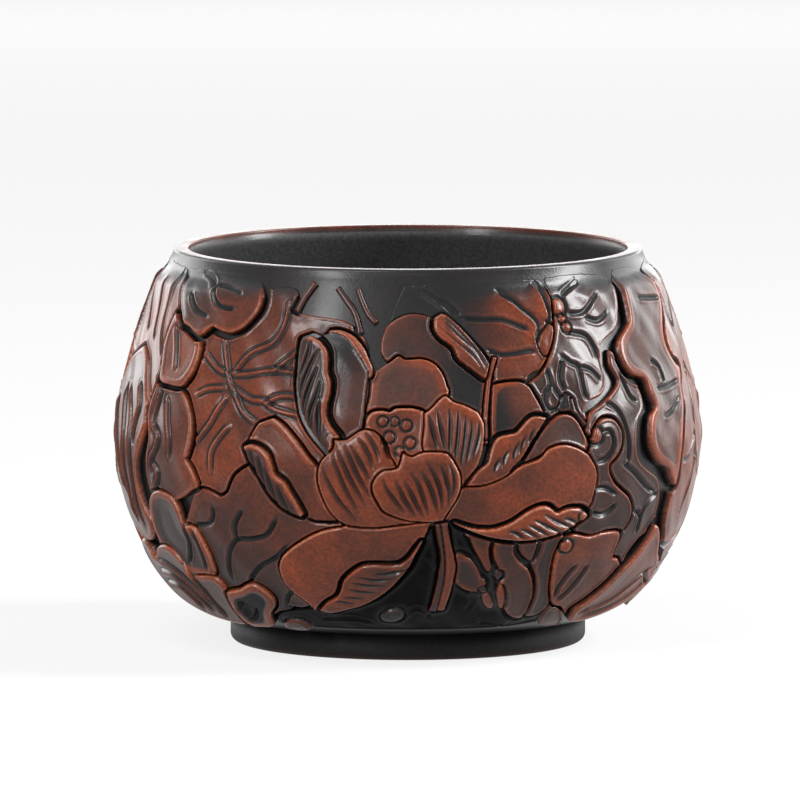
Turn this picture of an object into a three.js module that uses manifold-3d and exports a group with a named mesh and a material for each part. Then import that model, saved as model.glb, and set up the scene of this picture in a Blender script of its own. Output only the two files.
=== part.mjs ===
// A round ceramic tea cup with a carved lotus relief, in millimetres, +Z up.
// The origin is the centre of the foot's resting face, and the cup's front faces -Y.
// The potter's pieces are a thrown bowl, a turned foot ring, and clay petals, leaves and
// stems that are pressed on with slip. The same lotus stands on the front and on the rear.
import * as THREE from "three";
import { mergeVertices } from "three/addons/utils/BufferGeometryUtils.js";
import Module from "manifold-3d";

const wasm = await Module();
wasm.setup();

// Driving dimensions of the thrown bowl.
const rimHeight = 60;
const bellyHeight = 32;
const bellyRadius = 43.4;
const shoulderRadius = 36;
const lipHeight = 1.5;
const lipWidth = 1.4;
const lipRoundness = 0.6;
const mouthRadius = 33.6;
const wallThickness = 3;
const floorThickness = 3.5;
const hipFullness = 1.8;
const shoulderFullness = 1.45;
const insideFullness = 2.8;
const shoulderHeight = rimHeight - lipHeight;

// Driving dimensions of the turned foot ring.
const footHeight = 4;
const footRadius = 27;
const footWidth = 4.5;
const footEdgeRadius = 1.2;

// Driving dimensions of the relief.
const slipGap = 0.3;
const seamGap = 0.4;
const lowRise = 0.9;
const middleRise = 1.2;
const highRise = 1.5;
const podRise = 1.35;
const stemWidth = 2.6;
const reliefClearance = 1.6;
const reliefBottom = footHeight + reliefClearance;
// Outlines are drawn as [degrees round the cup, height in sixtieths of the rim's height].
const outlineUnit = rimHeight / 60;

// Fineness of the faceted solids.
const turnSteps = 40;
const lowerSteps = 4;
const upperSteps = 3;
const insideSteps = 7;
const spanSteps = 1;
const lowerGather = 1.4;
const upperGather = 1;
const insideGather = 1.5;
const sameCorner = 1e-4;
const shortestMitre = 0.9;

const degrees = Math.PI / 180;
const halfTurn = 180;

// The wall's outer radius at a height, without the relief.
function groundRadius(height) {
  if (height <= bellyHeight) {
    const share = (height - footHeight) / (bellyHeight - footHeight);
    const bulge = (1 - (1 - share) ** hipFullness) ** (1 / hipFullness);
    return footRadius + (bellyRadius - footRadius) * bulge;
  }
  const share = (height - bellyHeight) / (shoulderHeight - bellyHeight);
  return shoulderRadius + (bellyRadius - shoulderRadius) * (1 - share ** shoulderFullness);
}

// The wall's inner radius at a height: a full round bowl below the belly, an even wall above it.
function insideRadius(height) {
  if (height >= bellyHeight) return groundRadius(height) - wallThickness;
  const floor = footHeight + floorThickness;
  const share = (height - floor) / (bellyHeight - floor);
  const bulge = (1 - (1 - share) ** insideFullness) ** (1 / insideFullness);
  return (bellyRadius - wallThickness) * bulge;
}

// Heights of the facet rings between two levels, closer together near the lower one.
function ringHeights(low, high, steps, gather) {
  return Array.from({ length: steps + 1 }, (_, i) => low + (high - low) * (i / steps) ** gather);
}

const wallHeights = [
  ...ringHeights(reliefBottom, bellyHeight, lowerSteps, lowerGather),
  ...ringHeights(bellyHeight, shoulderHeight, upperSteps, upperGather).slice(1),
];

// A point on the ground surface moved out along its normal, as (radius, height).
function groundPoint(height, out) {
  const step = 0.01;
  const below = Math.max(height - step, footHeight);
  const above = Math.min(height + step, shoulderHeight);
  const along = new THREE.Vector2(groundRadius(above) - groundRadius(below), above - below).normalize();
  return new THREE.Vector2(groundRadius(height) + along.y * out, height - along.x * out);
}

// A closed mesh as a solid, with its faces turned outwards.
function solidOf(geometry) {
  const bare = geometry.clone();
  bare.deleteAttribute("normal");
  bare.deleteAttribute("uv");
  const merged = mergeVertices(bare, sameCorner);
  const corners = new Uint32Array(merged.index.array);
  const make = () =>
    new wasm.Manifold(
      new wasm.Mesh({
        numProp: 3,
        vertProperties: new Float32Array(merged.attributes.position.array),
        triVerts: corners,
      }),
    );
  const made = make();
  if (made.volume() > 0) return made;
  for (let i = 0; i < corners.length; i += 3) {
    [corners[i + 1], corners[i + 2]] = [corners[i + 2], corners[i + 1]];
  }
  return make();
}

// A solid of revolution from a profile of (radius, height) points.
function turned(profile) {
  const lathe = new THREE.LatheGeometry(profile, turnSteps);
  lathe.rotateX(Math.PI / 2);
  return solidOf(lathe);
}

// The solid back as a geometry for a mesh.
function geometryOf(solid) {
  const mesh = solid.getMesh();
  const positions = new Float32Array(mesh.numVert * 3);
  for (let i = 0; i < mesh.numVert; i++) {
    positions.set(mesh.vertProperties.subarray(i * mesh.numProp, i * mesh.numProp + 3), i * 3);
  }
  const geometry = new THREE.BufferGeometry();
  geometry.setAttribute("position", new THREE.BufferAttribute(positions, 3));
  geometry.setIndex(new THREE.BufferAttribute(new Uint32Array(mesh.triVerts), 1));
  geometry.computeVertexNormals();
  return geometry;
}

// The thrown bowl: flat underside, round hips, a flat-topped lip, and the hollow inside.
function bowlProfile() {
  const floor = footHeight + floorThickness;
  const profile = [new THREE.Vector2(0, footHeight), new THREE.Vector2(footRadius, footHeight)];
  for (const height of wallHeights) profile.push(groundPoint(height, 0));
  const lipSteps = 2;
  for (let i = 0; i <= lipSteps; i++) {
    const turn = (i / lipSteps) * (Math.PI / 2);
    profile.push(
      new THREE.Vector2(
        mouthRadius + lipWidth + lipRoundness * Math.cos(turn),
        rimHeight - lipRoundness * (1 - Math.sin(turn)),
      ),
    );
  }
  profile.push(new THREE.Vector2(mouthRadius, rimHeight));
  const insideHeights = ringHeights(floor, shoulderHeight, insideSteps, insideGather).reverse();
  for (const height of insideHeights.slice(0, -1)) {
    profile.push(new THREE.Vector2(insideRadius(height), height));
  }
  profile.push(new THREE.Vector2(0, floor));
  return profile;
}

// The foot ring: a plain band with its lower outer edge rounded.
function footProfile() {
  const inner = footRadius - footWidth;
  const roundSteps = 3;
  const profile = [new THREE.Vector2(inner, 0)];
  for (let i = 0; i <= roundSteps; i++) {
    const turn = (i / roundSteps) * (Math.PI / 2);
    profile.push(
      new THREE.Vector2(
        footRadius - footEdgeRadius * (1 - Math.sin(turn)),
        footEdgeRadius * (1 - Math.cos(turn)),
      ),
    );
  }
  profile.push(new THREE.Vector2(footRadius, footHeight));
  profile.push(new THREE.Vector2(inner, footHeight));
  profile.push(new THREE.Vector2(inner, 0));
  return profile;
}

// The even skin over the ground that a relief piece of this rise is cut from.
function reliefSkin(rise) {
  const heights = [...wallHeights];
  const inner = heights.map((height) => groundPoint(height, slipGap));
  const outer = heights.map((height) => groundPoint(height, rise)).reverse();
  return turned([...inner, ...outer, inner[0].clone()]);
}

// A smooth line through hand-set points.
function smooth(points) {
  if (points.length < 3) return points.map(([x, y]) => new THREE.Vector2(x, y));
  const curve = new THREE.SplineCurve(points.map(([x, y]) => new THREE.Vector2(x, y)));
  return curve.getPoints((points.length - 1) * spanSteps);
}

// The closed outline of a petal: up its left side, over its top, and down its right side.
function petalOutline({ left, right, top = [] }) {
  const end = right[right.length - 1];
  const start = left[left.length - 1];
  const over = top.length ? smooth([start, ...top, end]) : [];
  const line = [...smooth(left), ...over, ...smooth(right).reverse()];
  return tidy(line);
}

// The closed outline of a leaf that is drawn as one ring of points.
function leafOutline({ ring }) {
  return tidy(smooth([...ring, ring[0]]));
}

// A point of an outline in millimetres on the wall, and back.
function toWall(point) {
  return new THREE.Vector2(point.x * degrees * bellyRadius, point.y * outlineUnit);
}

function fromWall(point) {
  return new THREE.Vector2(point.x / (degrees * bellyRadius), point.y / outlineUnit);
}

// The outline of a stem: a line with the same width along it.
function stemOutline({ path, width }) {
  const line = smooth(path).map(toWall);
  const sides = [[], []];
  line.forEach((point, i) => {
    const before = line[Math.max(i - 1, 0)];
    const after = line[Math.min(i + 1, line.length - 1)];
    const along = after.clone().sub(before).normalize();
    const side = new THREE.Vector2(-along.y, along.x).multiplyScalar(width / 2);
    sides[0].push(fromWall(point.clone().add(side)));
    sides[1].push(fromWall(point.clone().sub(side)));
  });
  return tidy([...sides[0], ...sides[1].reverse()]);
}

// An outline without doubled points, running anticlockwise.
function tidy(line) {
  const closest = 0.12;
  const kept = line.filter((point, i) => point.distanceTo(line[(i + 1) % line.length]) > closest);
  return THREE.ShapeUtils.isClockWise(kept) ? kept.reverse() : kept;
}

// An outline moved outwards by a distance in millimetres on the wall.
function grown(outline, distance) {
  const flat = outline.map(toWall);
  return flat.map((point, i) => {
    const before = flat[(i + flat.length - 1) % flat.length];
    const after = flat[(i + 1) % flat.length];
    const first = point.clone().sub(before).normalize();
    const second = after.clone().sub(point).normalize();
    const normal = new THREE.Vector2(first.y + second.y, -first.x - second.x);
    const length = Math.max(normal.length(), shortestMitre);
    normal.multiplyScalar((2 * distance) / (length * length));
    return fromWall(point.clone().add(normal));
  });
}

// The wedge that an outline sweeps, straight out from the cup's axis.
function wedge(outline) {
  const nearRadius = 14;
  const farRadius = 2 * bellyRadius;
  const count = outline.length;
  const positions = [];
  for (const radius of [nearRadius, farRadius]) {
    for (const point of outline) {
      const turn = point.x * degrees;
      positions.push(radius * Math.sin(turn), -radius * Math.cos(turn), point.y * outlineUnit);
    }
  }
  const faces = [];
  for (const [a, b, c] of THREE.ShapeUtils.triangulateShape(outline, [])) {
    faces.push(a, c, b, count + a, count + b, count + c);
  }
  for (let i = 0; i < count; i++) {
    const next = (i + 1) % count;
    faces.push(i, next, count + next, i, count + next, count + i);
  }
  const geometry = new THREE.BufferGeometry();
  geometry.setAttribute("position", new THREE.Float32BufferAttribute(positions, 3));
  geometry.setIndex(faces);
  return solidOf(geometry);
}

// The largest of the bodies that a cut leaves.
function largest(solid) {
  return solid.decompose().sort((a, b) => b.volume() - a.volume())[0];
}

// The relief, from the lowest layer to the highest: a later piece lies over an earlier one.
// A piece with a roll has its edge rolled back over its own face.
const leaves = [
  { name: "leaf_far_left", rise: lowRise,
    ring: [[-68, 58.3], [-60, 56], [-57, 50], [-58, 44], [-60, 39], [-66.5, 37.5], [-72, 42.5], [-79, 44],
      [-88, 46], [-90, 54], [-84, 58.3], [-76, 58.4]],
    roll: { rise: middleRise,
      ring: [[-73, 46], [-69, 44], [-65.5, 40], [-63, 36.5], [-65, 32.5], [-68, 29], [-68.8, 26],
        [-67.8, 22.4], [-65.8, 20.2], [-67.4, 18], [-72, 17], [-79, 18], [-86, 22], [-89, 30], [-88, 38],
        [-82, 43], [-78, 44.6]] } },
  { name: "leaf_veined_left", rise: lowRise,
    ring: [[-37, 56], [-31, 57], [-26.5, 56.6], [-25.4, 53.8], [-23.2, 53.1], [-16.7, 52.7], [-13.1, 52.1],
      [-9.6, 50], [-8, 46], [-9, 38], [-14, 30], [-20, 25], [-30, 25], [-40, 24], [-48, 27], [-51, 31],
      [-52, 36], [-52, 42], [-51, 48], [-45, 50.6], [-40, 51]] },
  { name: "leaf_low_left", rise: lowRise,
    ring: [[-40.2, 25.7], [-38.2, 26.5], [-37, 28], [-35.6, 29.4], [-32.1, 30.9], [-28, 31], [-20, 26],
      [-12, 24], [-6, 18], [-8, 12], [-14, 8], [-26, 7], [-36, 8], [-46, 9], [-53, 12], [-54, 18],
      [-50, 23], [-45.6, 26.6]] },
  { name: "leaf_hub_right", rise: lowRise,
    ring: [[2, 57.6], [10, 58.2], [20, 58.3], [29, 58.2], [32.6, 57.2], [33.4, 53.6], [32.9, 51.1],
      [31.5, 48.3], [29.6, 46.1], [27.5, 44.7], [25, 43.7], [22, 38], [18, 34], [12, 36], [8, 42], [2, 48],
      [-1, 53]] },
  { name: "leaf_bright_right", rise: lowRise,
    ring: [[34, 58.2], [41, 58.5], [48, 58.3], [54.4, 57.4], [54.8, 54.1], [53.1, 51.5], [51.9, 50.3],
      [48.9, 49.1], [45.4, 47.9], [44.3, 45.3], [44.6, 42.4], [42.7, 40.6], [39.7, 40], [37.7, 38.8],
      [37.4, 36.5], [33, 33], [25, 36], [23, 40], [25.4, 43], [28, 44.2], [30.4, 46], [32.6, 48.6],
      [34, 51.4], [34.4, 55]] },
  { name: "leaf_folded_right", rise: lowRise,
    ring: [[47.3, 47], [50, 45.4], [52.4, 42.6], [54.4, 40.4], [54.6, 37.9], [52.3, 36.5], [51.2, 34.4],
      [50.8, 32.1], [51.9, 30.3], [55, 28.8], [58.6, 27.4], [60.4, 25.2], [60.8, 22.4], [59.6, 20],
      [55, 17.6], [50, 12], [42, 12], [38, 24], [37, 32], [38.4, 37.6], [42, 39.2], [45.4, 40.6],
      [48.1, 42.4], [46.6, 44.7]] },
  { name: "leaf_far_right", rise: lowRise,
    ring: [[67, 15.6], [69, 17.6], [74, 18.6], [80, 19], [88, 20], [94, 18], [99, 13], [98, 8.4], [90, 6.6],
      [80, 6.6], [72, 8], [69, 11]],
    roll: { rise: middleRise,
      ring: [[75, 57.6], [72, 51], [71, 43.6], [70, 38], [68.8, 34], [66.6, 28], [65.4, 23.6], [66, 20.2],
        [68, 17.8], [71, 16.8], [78, 17.4], [86, 19], [92, 26], [93, 36], [91, 46], [93, 54], [88, 58.2],
        [80, 58.3]] } },
  { name: "leaf_tall_right", rise: highRise,
    ring: [[58.4, 58.4], [57, 57], [57, 54.7], [56, 50.9], [53.7, 49.5], [50.8, 48.2], [49.8, 46.8],
      [50.2, 44.9], [52.3, 43], [56, 42.1], [56.8, 40], [58, 37.9], [56.1, 36.7], [55, 35], [54.8, 32.6],
      [56.2, 30.8], [58.5, 29.6], [61.5, 28.7], [63.4, 27.3], [66.1, 25.9], [66.7, 29.1], [67.4, 32.1],
      [69, 35], [70.9, 37.6], [71.3, 40], [73.4, 42.4], [70.8, 43.5], [68.6, 45.9], [69.2, 48.2],
      [72.2, 50.6], [74.6, 53], [73, 57], [66, 58.4]] },
  { name: "leaf_curled_right", rise: middleRise,
    ring: [[39.2, 35.6], [40.8, 36.8], [42.7, 37.2], [45, 36.8], [46.6, 35], [46.2, 32.9], [44.6, 31.5],
      [43, 30.6], [42.9, 29.4], [44.6, 27.6], [47.3, 26.2], [49.6, 25], [51.2, 22.9], [50.4, 20.9],
      [48.7, 19.6], [48.3, 16.2], [46, 12], [40, 11], [36, 13], [34, 18], [34, 24], [36, 30]] },
  { name: "leaf_low_middle", rise: lowRise,
    ring: [[-36, 6.1], [-26, 5.9], [-10, 5.9], [4, 5.9], [18, 5.9], [30, 6.1], [37.6, 7], [37, 9.4],
      [35, 13], [34.4, 17], [35, 21.4], [28, 22.6], [18, 23], [8, 23], [0, 20], [-8, 15], [-13, 10.6],
      [-20, 9.4], [-26, 9], [-32, 8.4], [-35, 7.4]] },
  { name: "leaf_low_right", rise: middleRise,
    ring: [[33.4, 19.8], [32.4, 17.6], [32.5, 15.4], [33.3, 12.8], [34.8, 10.8], [36.4, 9.5], [38.8, 9.2],
      [40.8, 8.5], [43, 7.3], [46.5, 6.4], [50, 6.6], [54, 13.5], [52.4, 14.8], [51.2, 15.7], [49.1, 16],
      [48.7, 17.4], [49.2, 19.2], [48.2, 20.1], [44, 20.2], [40, 19.8], [36, 20.4]] },
  { name: "petal_low_right", rise: highRise,
    ring: [[44.2, 8.4], [48, 10], [51.5, 12.1], [54, 13.9], [57, 15.9], [59.4, 18], [61.4, 20],
      [63.2, 19.6], [65.2, 17.9], [67.8, 15.6], [70.4, 14.6], [72.8, 12.2], [72, 9.8], [66, 8.2], [58, 7],
      [50, 6.4], [45.6, 6.7]] },
  { name: "leaf_lobed_left", rise: middleRise,
    ring: [[-61, 42], [-54.6, 42], [-52.8, 40.9], [-50.1, 39.4], [-47.8, 36.8], [-47.4, 34.1],
      [-48.2, 31.5], [-49, 30.9], [-47, 29.4], [-45.9, 27.1], [-47.6, 26.4], [-51, 25], [-56, 24],
      [-60, 24], [-62.6, 26], [-62.8, 29.8], [-61.4, 33], [-63, 37]],
    roll: { rise: middleRise,
      ring: [[-63.8, 23.4], [-62, 24.8], [-59, 25.6], [-56, 25.4], [-54, 24.8], [-52.6, 23.2], [-51.9, 21],
        [-50, 20.9], [-48.2, 20.2], [-47, 18.4], [-46.3, 16], [-46.8, 13.8], [-50, 13.4], [-56, 13.8],
        [-62, 15.8], [-64.6, 19]] } },
  { name: "petal_low_left", rise: highRise,
    ring: [[-80, 13.4], [-79, 16], [-76, 17], [-73, 16.4], [-70.4, 15], [-67, 16.4], [-64, 17], [-61, 17],
      [-58.6, 16], [-56.6, 14.6], [-54.6, 13.2], [-50, 13.4], [-47.4, 13.3], [-45.4, 12], [-44.6, 9],
      [-46, 6.3], [-54, 6.2], [-64, 7], [-74, 9]],
    roll: { rise: highRise,
      ring: [[-45.8, 11.1], [-44, 11.4], [-41, 11.8], [-38.6, 12.5], [-36.4, 12.9], [-34, 12.2],
        [-32.2, 10.9], [-32.6, 9.7], [-34.6, 8.7], [-35.9, 7.7], [-37, 6.4], [-41, 6.1], [-45.4, 6.2],
        [-46.6, 8.4]] } },
  { name: "petal_side_left", rise: middleRise,
    ring: [[-61.6, 51.4], [-57.4, 50.8], [-54, 50], [-50.4, 49], [-49.3, 47.6], [-49, 45.9], [-49.7, 43.8],
      [-51.3, 42.1], [-52.8, 41.2], [-56.2, 41.2], [-60.6, 41.6], [-61.2, 44], [-62.4, 47]] },
  { name: "bud_left", rise: highRise,
    ring: [[-64.7, 58.2], [-63.1, 56.8], [-62, 54.7], [-60.1, 52.6], [-58.2, 51.2], [-57, 50.2],
      [-54.7, 49.9], [-52.4, 49.2], [-50.5, 48.8], [-48.6, 49.6], [-47, 50.4], [-45.5, 50.1], [-41.7, 49.7],
      [-38.6, 50.4], [-36.3, 51.9], [-34.9, 53.3], [-34.5, 55], [-35.9, 56.8], [-38.2, 57.9], [-46, 58.4],
      [-56, 58.5]] },
];

const lotus = [
  { name: "stem", rise: middleRise, width: stemWidth,
    path: [[6.4, 22.6], [7.4, 19.6], [8.2, 16], [7.9, 12.4], [7, 9]] },
  { name: "petal_back_top", rise: lowRise,
    left: [[-2, 45], [-5.8, 47.8], [-5.5, 50.5], [-4, 52.1]],
    top: [[-2, 53.1], [1, 53.6], [4, 53.5]],
    right: [[13, 38], [15.2, 42.5], [11, 48], [6.8, 52.6]],
    roll: { rise: middleRise,
      left: [[15.8, 43.2], [11.5, 45.3], [9, 47], [6.5, 49.3], [4.3, 51.2], [6, 52.9]],
      right: [[15.8, 43.2], [16.6, 44.6], [14.5, 47.3], [11.5, 50], [8.5, 52.3], [6, 52.9]] } },
  { name: "petal_right_under", rise: lowRise,
    left: [[20, 31], [24, 34], [27, 37.5], [30.5, 38.4], [34, 38], [37.3, 35.5]],
    right: [[20, 31], [26, 32.3], [31, 33.6], [35, 33.7], [37.3, 35.5]] },
  { name: "petal_right", rise: lowRise,
    left: [[14.5, 31], [15.6, 35], [16.2, 39.5], [17, 43]],
    top: [[20, 43.4], [23, 43.1], [25.6, 41.9], [27.2, 39.8]],
    right: [[14.5, 31], [22, 34.5], [28, 37.9]],
    roll: { rise: middleRise,
      left: [[11, 28.3], [13.6, 31], [15.8, 33], [17.5, 35.4], [20.5, 36], [22.5, 36.6], [25, 37.6],
        [28.2, 38.1]],
      right: [[11, 28.3], [15, 29.3], [19, 31], [22.5, 33], [25, 35.7], [28.2, 38.1]] } },
  { name: "petal_back_centre", rise: middleRise,
    left: [[-6, 37], [-8.4, 39.5], [-7.8, 42.5], [-6.8, 45]],
    top: [[-4.5, 46.3], [-2.4, 47.4], [-0.5, 47], [3, 46.9]],
    right: [[4, 38], [7.8, 41.5], [7, 44.3], [5.3, 46.1]] },
  { name: "petal_upper_left", rise: middleRise,
    left: [[-12.5, 35], [-17.3, 37.4], [-18.5, 41], [-18.4, 45], [-19.8, 48.6]],
    top: [[-17, 51], [-14.5, 51.1]],
    right: [[-12.5, 35], [-9.3, 37], [-8.5, 40.5], [-7.7, 45.2], [-9.5, 47.3], [-12.3, 50]],
    roll: { rise: highRise,
      left: [[-15.8, 33.9], [-18.5, 35.2], [-21, 37.6], [-22.3, 41], [-22.8, 45], [-23, 49.4]],
      right: [[-15.8, 33.9], [-15.3, 35.6], [-16.8, 37.2], [-17.3, 39.5], [-16, 42.8], [-17.3, 45],
        [-17.3, 47.2], [-19, 49.2], [-21.5, 49.8]] } },
  { name: "petal_outer_left", rise: middleRise,
    left: [[-13, 23.3], [-17, 26.5], [-17.5, 30.5], [-20, 33], [-24, 36.6], [-27.8, 38]],
    top: [[-30.5, 37.2], [-32.6, 35.5]],
    right: [[-13, 23.3], [-18, 22.9], [-22.8, 25], [-27, 28], [-30.5, 31.4], [-33, 33.2]],
    roll: { rise: highRise,
      left: [[-20.8, 23.6], [-22.5, 27], [-24.5, 29], [-27, 30.3], [-28.5, 32.7], [-31, 34.1], [-34, 33.8]],
      right: [[-20.8, 23.6], [-24, 24], [-27, 25.6], [-30, 28.2], [-32.3, 31.2], [-34, 33.8]] } },
  { name: "petal_long_left", rise: middleRise,
    left: [[4.6, 22.8], [-2, 22.8], [-8, 22.2], [-13, 22.3], [-18, 21.3], [-23, 19.4], [-27.5, 16.7]],
    top: [[-28.5, 14.8], [-27, 12.6], [-24, 11.2]],
    right: [[4.6, 22.8], [2.8, 20.2], [-2, 16.2], [-9, 15], [-14, 12.4], [-18, 10.6], [-21.5, 10.2]],
    roll: { rise: highRise,
      left: [[3.6, 21], [1, 18.6], [-2, 17.3], [-6, 17.1], [-9.5, 17], [-12.5, 15.8], [-15.3, 13],
        [-18, 11.9], [-20.6, 10.2]],
      right: [[3.6, 21], [2.5, 18.5], [-1, 15.5], [-5, 12.8], [-9, 11], [-13, 10], [-17, 9.5],
        [-20.6, 10.2]] } },
  { name: "petal_long_right", rise: middleRise,
    left: [[8, 24.8], [10.3, 28], [15, 28.7], [19.5, 30.8], [24, 31.8], [29, 33.7], [33, 33.8], [37.3, 32]],
    top: [[39.2, 29.5], [39, 27]],
    right: [[8, 24.8], [11.5, 22.8], [18, 21.9], [24, 22.6], [30, 22.8], [35.5, 23.2], [38.6, 25]],
    roll: { rise: highRise,
      left: [[10, 22.8], [15, 22.2], [19, 22.7], [22.5, 24.2], [26, 25.4], [29, 25], [31, 24.2],
        [34, 24.8], [38, 24]],
      right: [[10, 22.8], [14, 21.7], [20, 20.6], [26, 20.2], [32, 20.7], [36, 21.8], [38, 24]] } },
  { name: "seed_pod", rise: podRise,
    ring: [[-8.8, 37.6], [-7.8, 39.2], [-5.6, 39.6], [-4, 39.1], [-2.5, 39.7], [0, 39.8], [2.6, 39.1],
      [3, 36.5], [2.8, 33.2], [0, 31.4], [-3.4, 31.4], [-4.4, 34.4], [-6.6, 36.6]] },
  { name: "petal_pod_left", rise: highRise,
    left: [[3, 23.3], [-4, 22.6], [-9, 22.6], [-13, 23.3], [-16.5, 26], [-17.8, 29], [-17, 31.5],
      [-14.5, 34.9]],
    top: [[-12.5, 35.4], [-9.5, 36.7], [-6.5, 36.5]],
    right: [[3, 23.3], [0, 26], [-2.5, 29.5], [-3.4, 32.5], [-4.8, 35.4]] },
  { name: "petal_pod_right", rise: highRise,
    left: [[9.5, 27.5], [5.5, 31], [3.3, 33.5], [2.8, 36], [3.6, 39.3]],
    top: [[5.3, 40.2], [7.2, 41.3], [9, 40.5], [12, 39.7]],
    right: [[9.5, 27.5], [12.5, 29], [14.2, 32], [15, 35.3], [14.6, 38.3]] },
  { name: "petal_centre", rise: highRise,
    left: [[6, 23.2], [1.5, 23.4], [-3.5, 24.3], [-6.5, 26.8], [-6.7, 29.7], [-4.5, 31.2], [-2.2, 31.6],
      [-1, 33.4]],
    top: [[1.5, 32.9], [3.5, 33.2], [6.5, 33.5]],
    right: [[6, 23.2], [8.3, 25], [9.8, 27.5], [10, 30], [8.7, 32.4]] },
];

// The outline of a shape, by how it is drawn.
function outlineOf(shape) {
  if (shape.ring) return leafOutline(shape);
  if (shape.path) return stemOutline(shape);
  return petalOutline(shape);
}

// Every relief piece of one lotus, each cut clear of the pieces that lie over it.
function reliefPieces() {
  const drawn = [...leaves, ...lotus].map(({ name, roll, ...face }) => ({
    name,
    shapes: [face, ...(roll ? [roll] : [])].map((shape) => ({ rise: shape.rise, outline: outlineOf(shape) })),
  }));
  const skins = new Map([lowRise, middleRise, podRise, highRise].map((rise) => [rise, reliefSkin(rise)]));
  const covers = drawn.map(({ shapes }) => shapes.map(({ outline }) => grown(outline, seamGap)));
  return drawn.map(({ name, shapes }, i) => {
    const parts = shapes.map(({ rise, outline }) => skins.get(rise).intersect(wedge(outline)));
    let solid = parts.reduce((whole, part) => whole.add(part));
    const reach = new THREE.Box2().setFromPoints(shapes.flatMap(({ outline }) => outline));
    for (const turn of [-halfTurn, 0, halfTurn]) {
      covers.forEach((outlines, j) => {
        if (turn === 0 ? j <= i : j < i) return;
        for (const outline of outlines) {
          const cover = outline.map((point) => new THREE.Vector2(point.x + turn, point.y));
          const box = new THREE.Box2().setFromPoints(cover);
          if (box.intersectsBox(reach)) solid = solid.subtract(wedge(cover));
        }
      });
    }
    return { name, solid: largest(solid) };
  });
}

// A fired finish of the clay.
function ceramic(name, color, roughness) {
  return new THREE.MeshStandardMaterial({ name, color, roughness, metalness: 0 });
}

const glaze = {
  bowl: ceramic("dark_ceramic", 0x2b2624, 0.45),
  foot: ceramic("foot_ceramic", 0x2d2725, 0.6),
  relief: ceramic("relief_ceramic", 0x6e3524, 0.4),
};

const cup = new THREE.Group();

function add(name, solid, material, turn = 0) {
  const mesh = new THREE.Mesh(geometryOf(solid), material);
  mesh.name = name;
  mesh.rotation.z = turn * degrees;
  cup.add(mesh);
}

add("bowl_wall", turned(bowlProfile()), glaze.bowl);
add("foot_ring", turned(footProfile()), glaze.foot);
for (const { name, solid } of reliefPieces()) {
  add("front_" + name, solid, glaze.relief);
  add("rear_" + name, solid, glaze.relief, halfTurn);
}

export default cup;
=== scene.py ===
"""Looks of a round ceramic tea cup with a carved lotus relief.

The bowl and foot are spun profiles. Every petal and leaf is its own piece: a grid laid on the
wall whose height follows the petal's outline, rim, hollow and carved lines.
"""

import logging
import math
from dataclasses import dataclass
from enum import Enum
from typing import Sequence

import bmesh
import bpy
import numpy as np
from mathutils import Matrix, Vector


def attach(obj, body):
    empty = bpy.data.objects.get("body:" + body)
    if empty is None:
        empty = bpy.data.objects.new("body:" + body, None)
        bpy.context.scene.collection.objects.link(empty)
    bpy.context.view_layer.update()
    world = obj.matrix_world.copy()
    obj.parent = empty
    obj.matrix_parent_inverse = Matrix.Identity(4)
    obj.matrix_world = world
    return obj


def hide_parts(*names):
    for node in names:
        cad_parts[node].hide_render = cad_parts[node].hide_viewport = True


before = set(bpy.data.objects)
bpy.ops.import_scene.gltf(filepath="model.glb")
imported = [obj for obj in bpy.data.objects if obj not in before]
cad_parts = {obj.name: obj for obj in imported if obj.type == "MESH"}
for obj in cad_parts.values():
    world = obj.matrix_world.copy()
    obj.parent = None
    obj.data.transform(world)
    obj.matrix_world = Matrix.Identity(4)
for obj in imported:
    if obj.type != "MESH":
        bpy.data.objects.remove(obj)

log = logging.getLogger("tea_cup")

MM = 0.001
Array = np.ndarray
Socket = bpy.types.NodeSocket
Point = tuple[float, float]
Line = Sequence[Point]
Skin = tuple[Array, Array]

CUP_MIDDLE = (0.0, 0.0, 0.03)


class Slot(Enum):
    """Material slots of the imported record."""

    DARK = "dark_glaze"
    RUSSET = "russet_glaze"
    FOOT = "foot_clay"


# Small helpers.


def linear(code: str) -> tuple[float, float, float, float]:
    """Turns an sRGB hex colour into the linear colour that Blender's nodes take.

    Args:
        code: six hex digits, such as "6b3020".

    Returns:
        Red, green, blue and alpha.
    """
    parts = [int(code[i : i + 2], 16) / 255 for i in (0, 2, 4)]
    turned = [c / 12.92 if c <= 0.04045 else ((c + 0.055) / 1.055) ** 2.4 for c in parts]
    return (*turned, 1.0)


def smoothstep(x: Array) -> Array:
    """Eases 0..1 in and out, and clips what lies outside."""
    x = np.clip(x, 0.0, 1.0)
    return x * x * (3 - 2 * x)


def bell(x: Array, width: float | Array) -> Array:
    """A bell curve that is 1 at zero and nearly gone at twice its width."""
    return np.exp(-((x / width) ** 2))


def hump(x: Array, width: float) -> Array:
    """A round hump that is 1 at zero and gone at its width."""
    return np.clip(1 - (x / width) ** 2, 0, None)


def quarter_round(x: Array) -> Array:
    """How far a quarter circle has fallen: 1 at zero, and 0 from 1 on."""
    return 1 - np.sqrt(1 - (1 - np.clip(x, 0, 1)) ** 2)


def thinned(along: Array, share: float) -> Array:
    """1 along a line, easing to 0 over a share of it at either end."""
    return smoothstep(along / share) * smoothstep((1 - along) / share)


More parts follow.
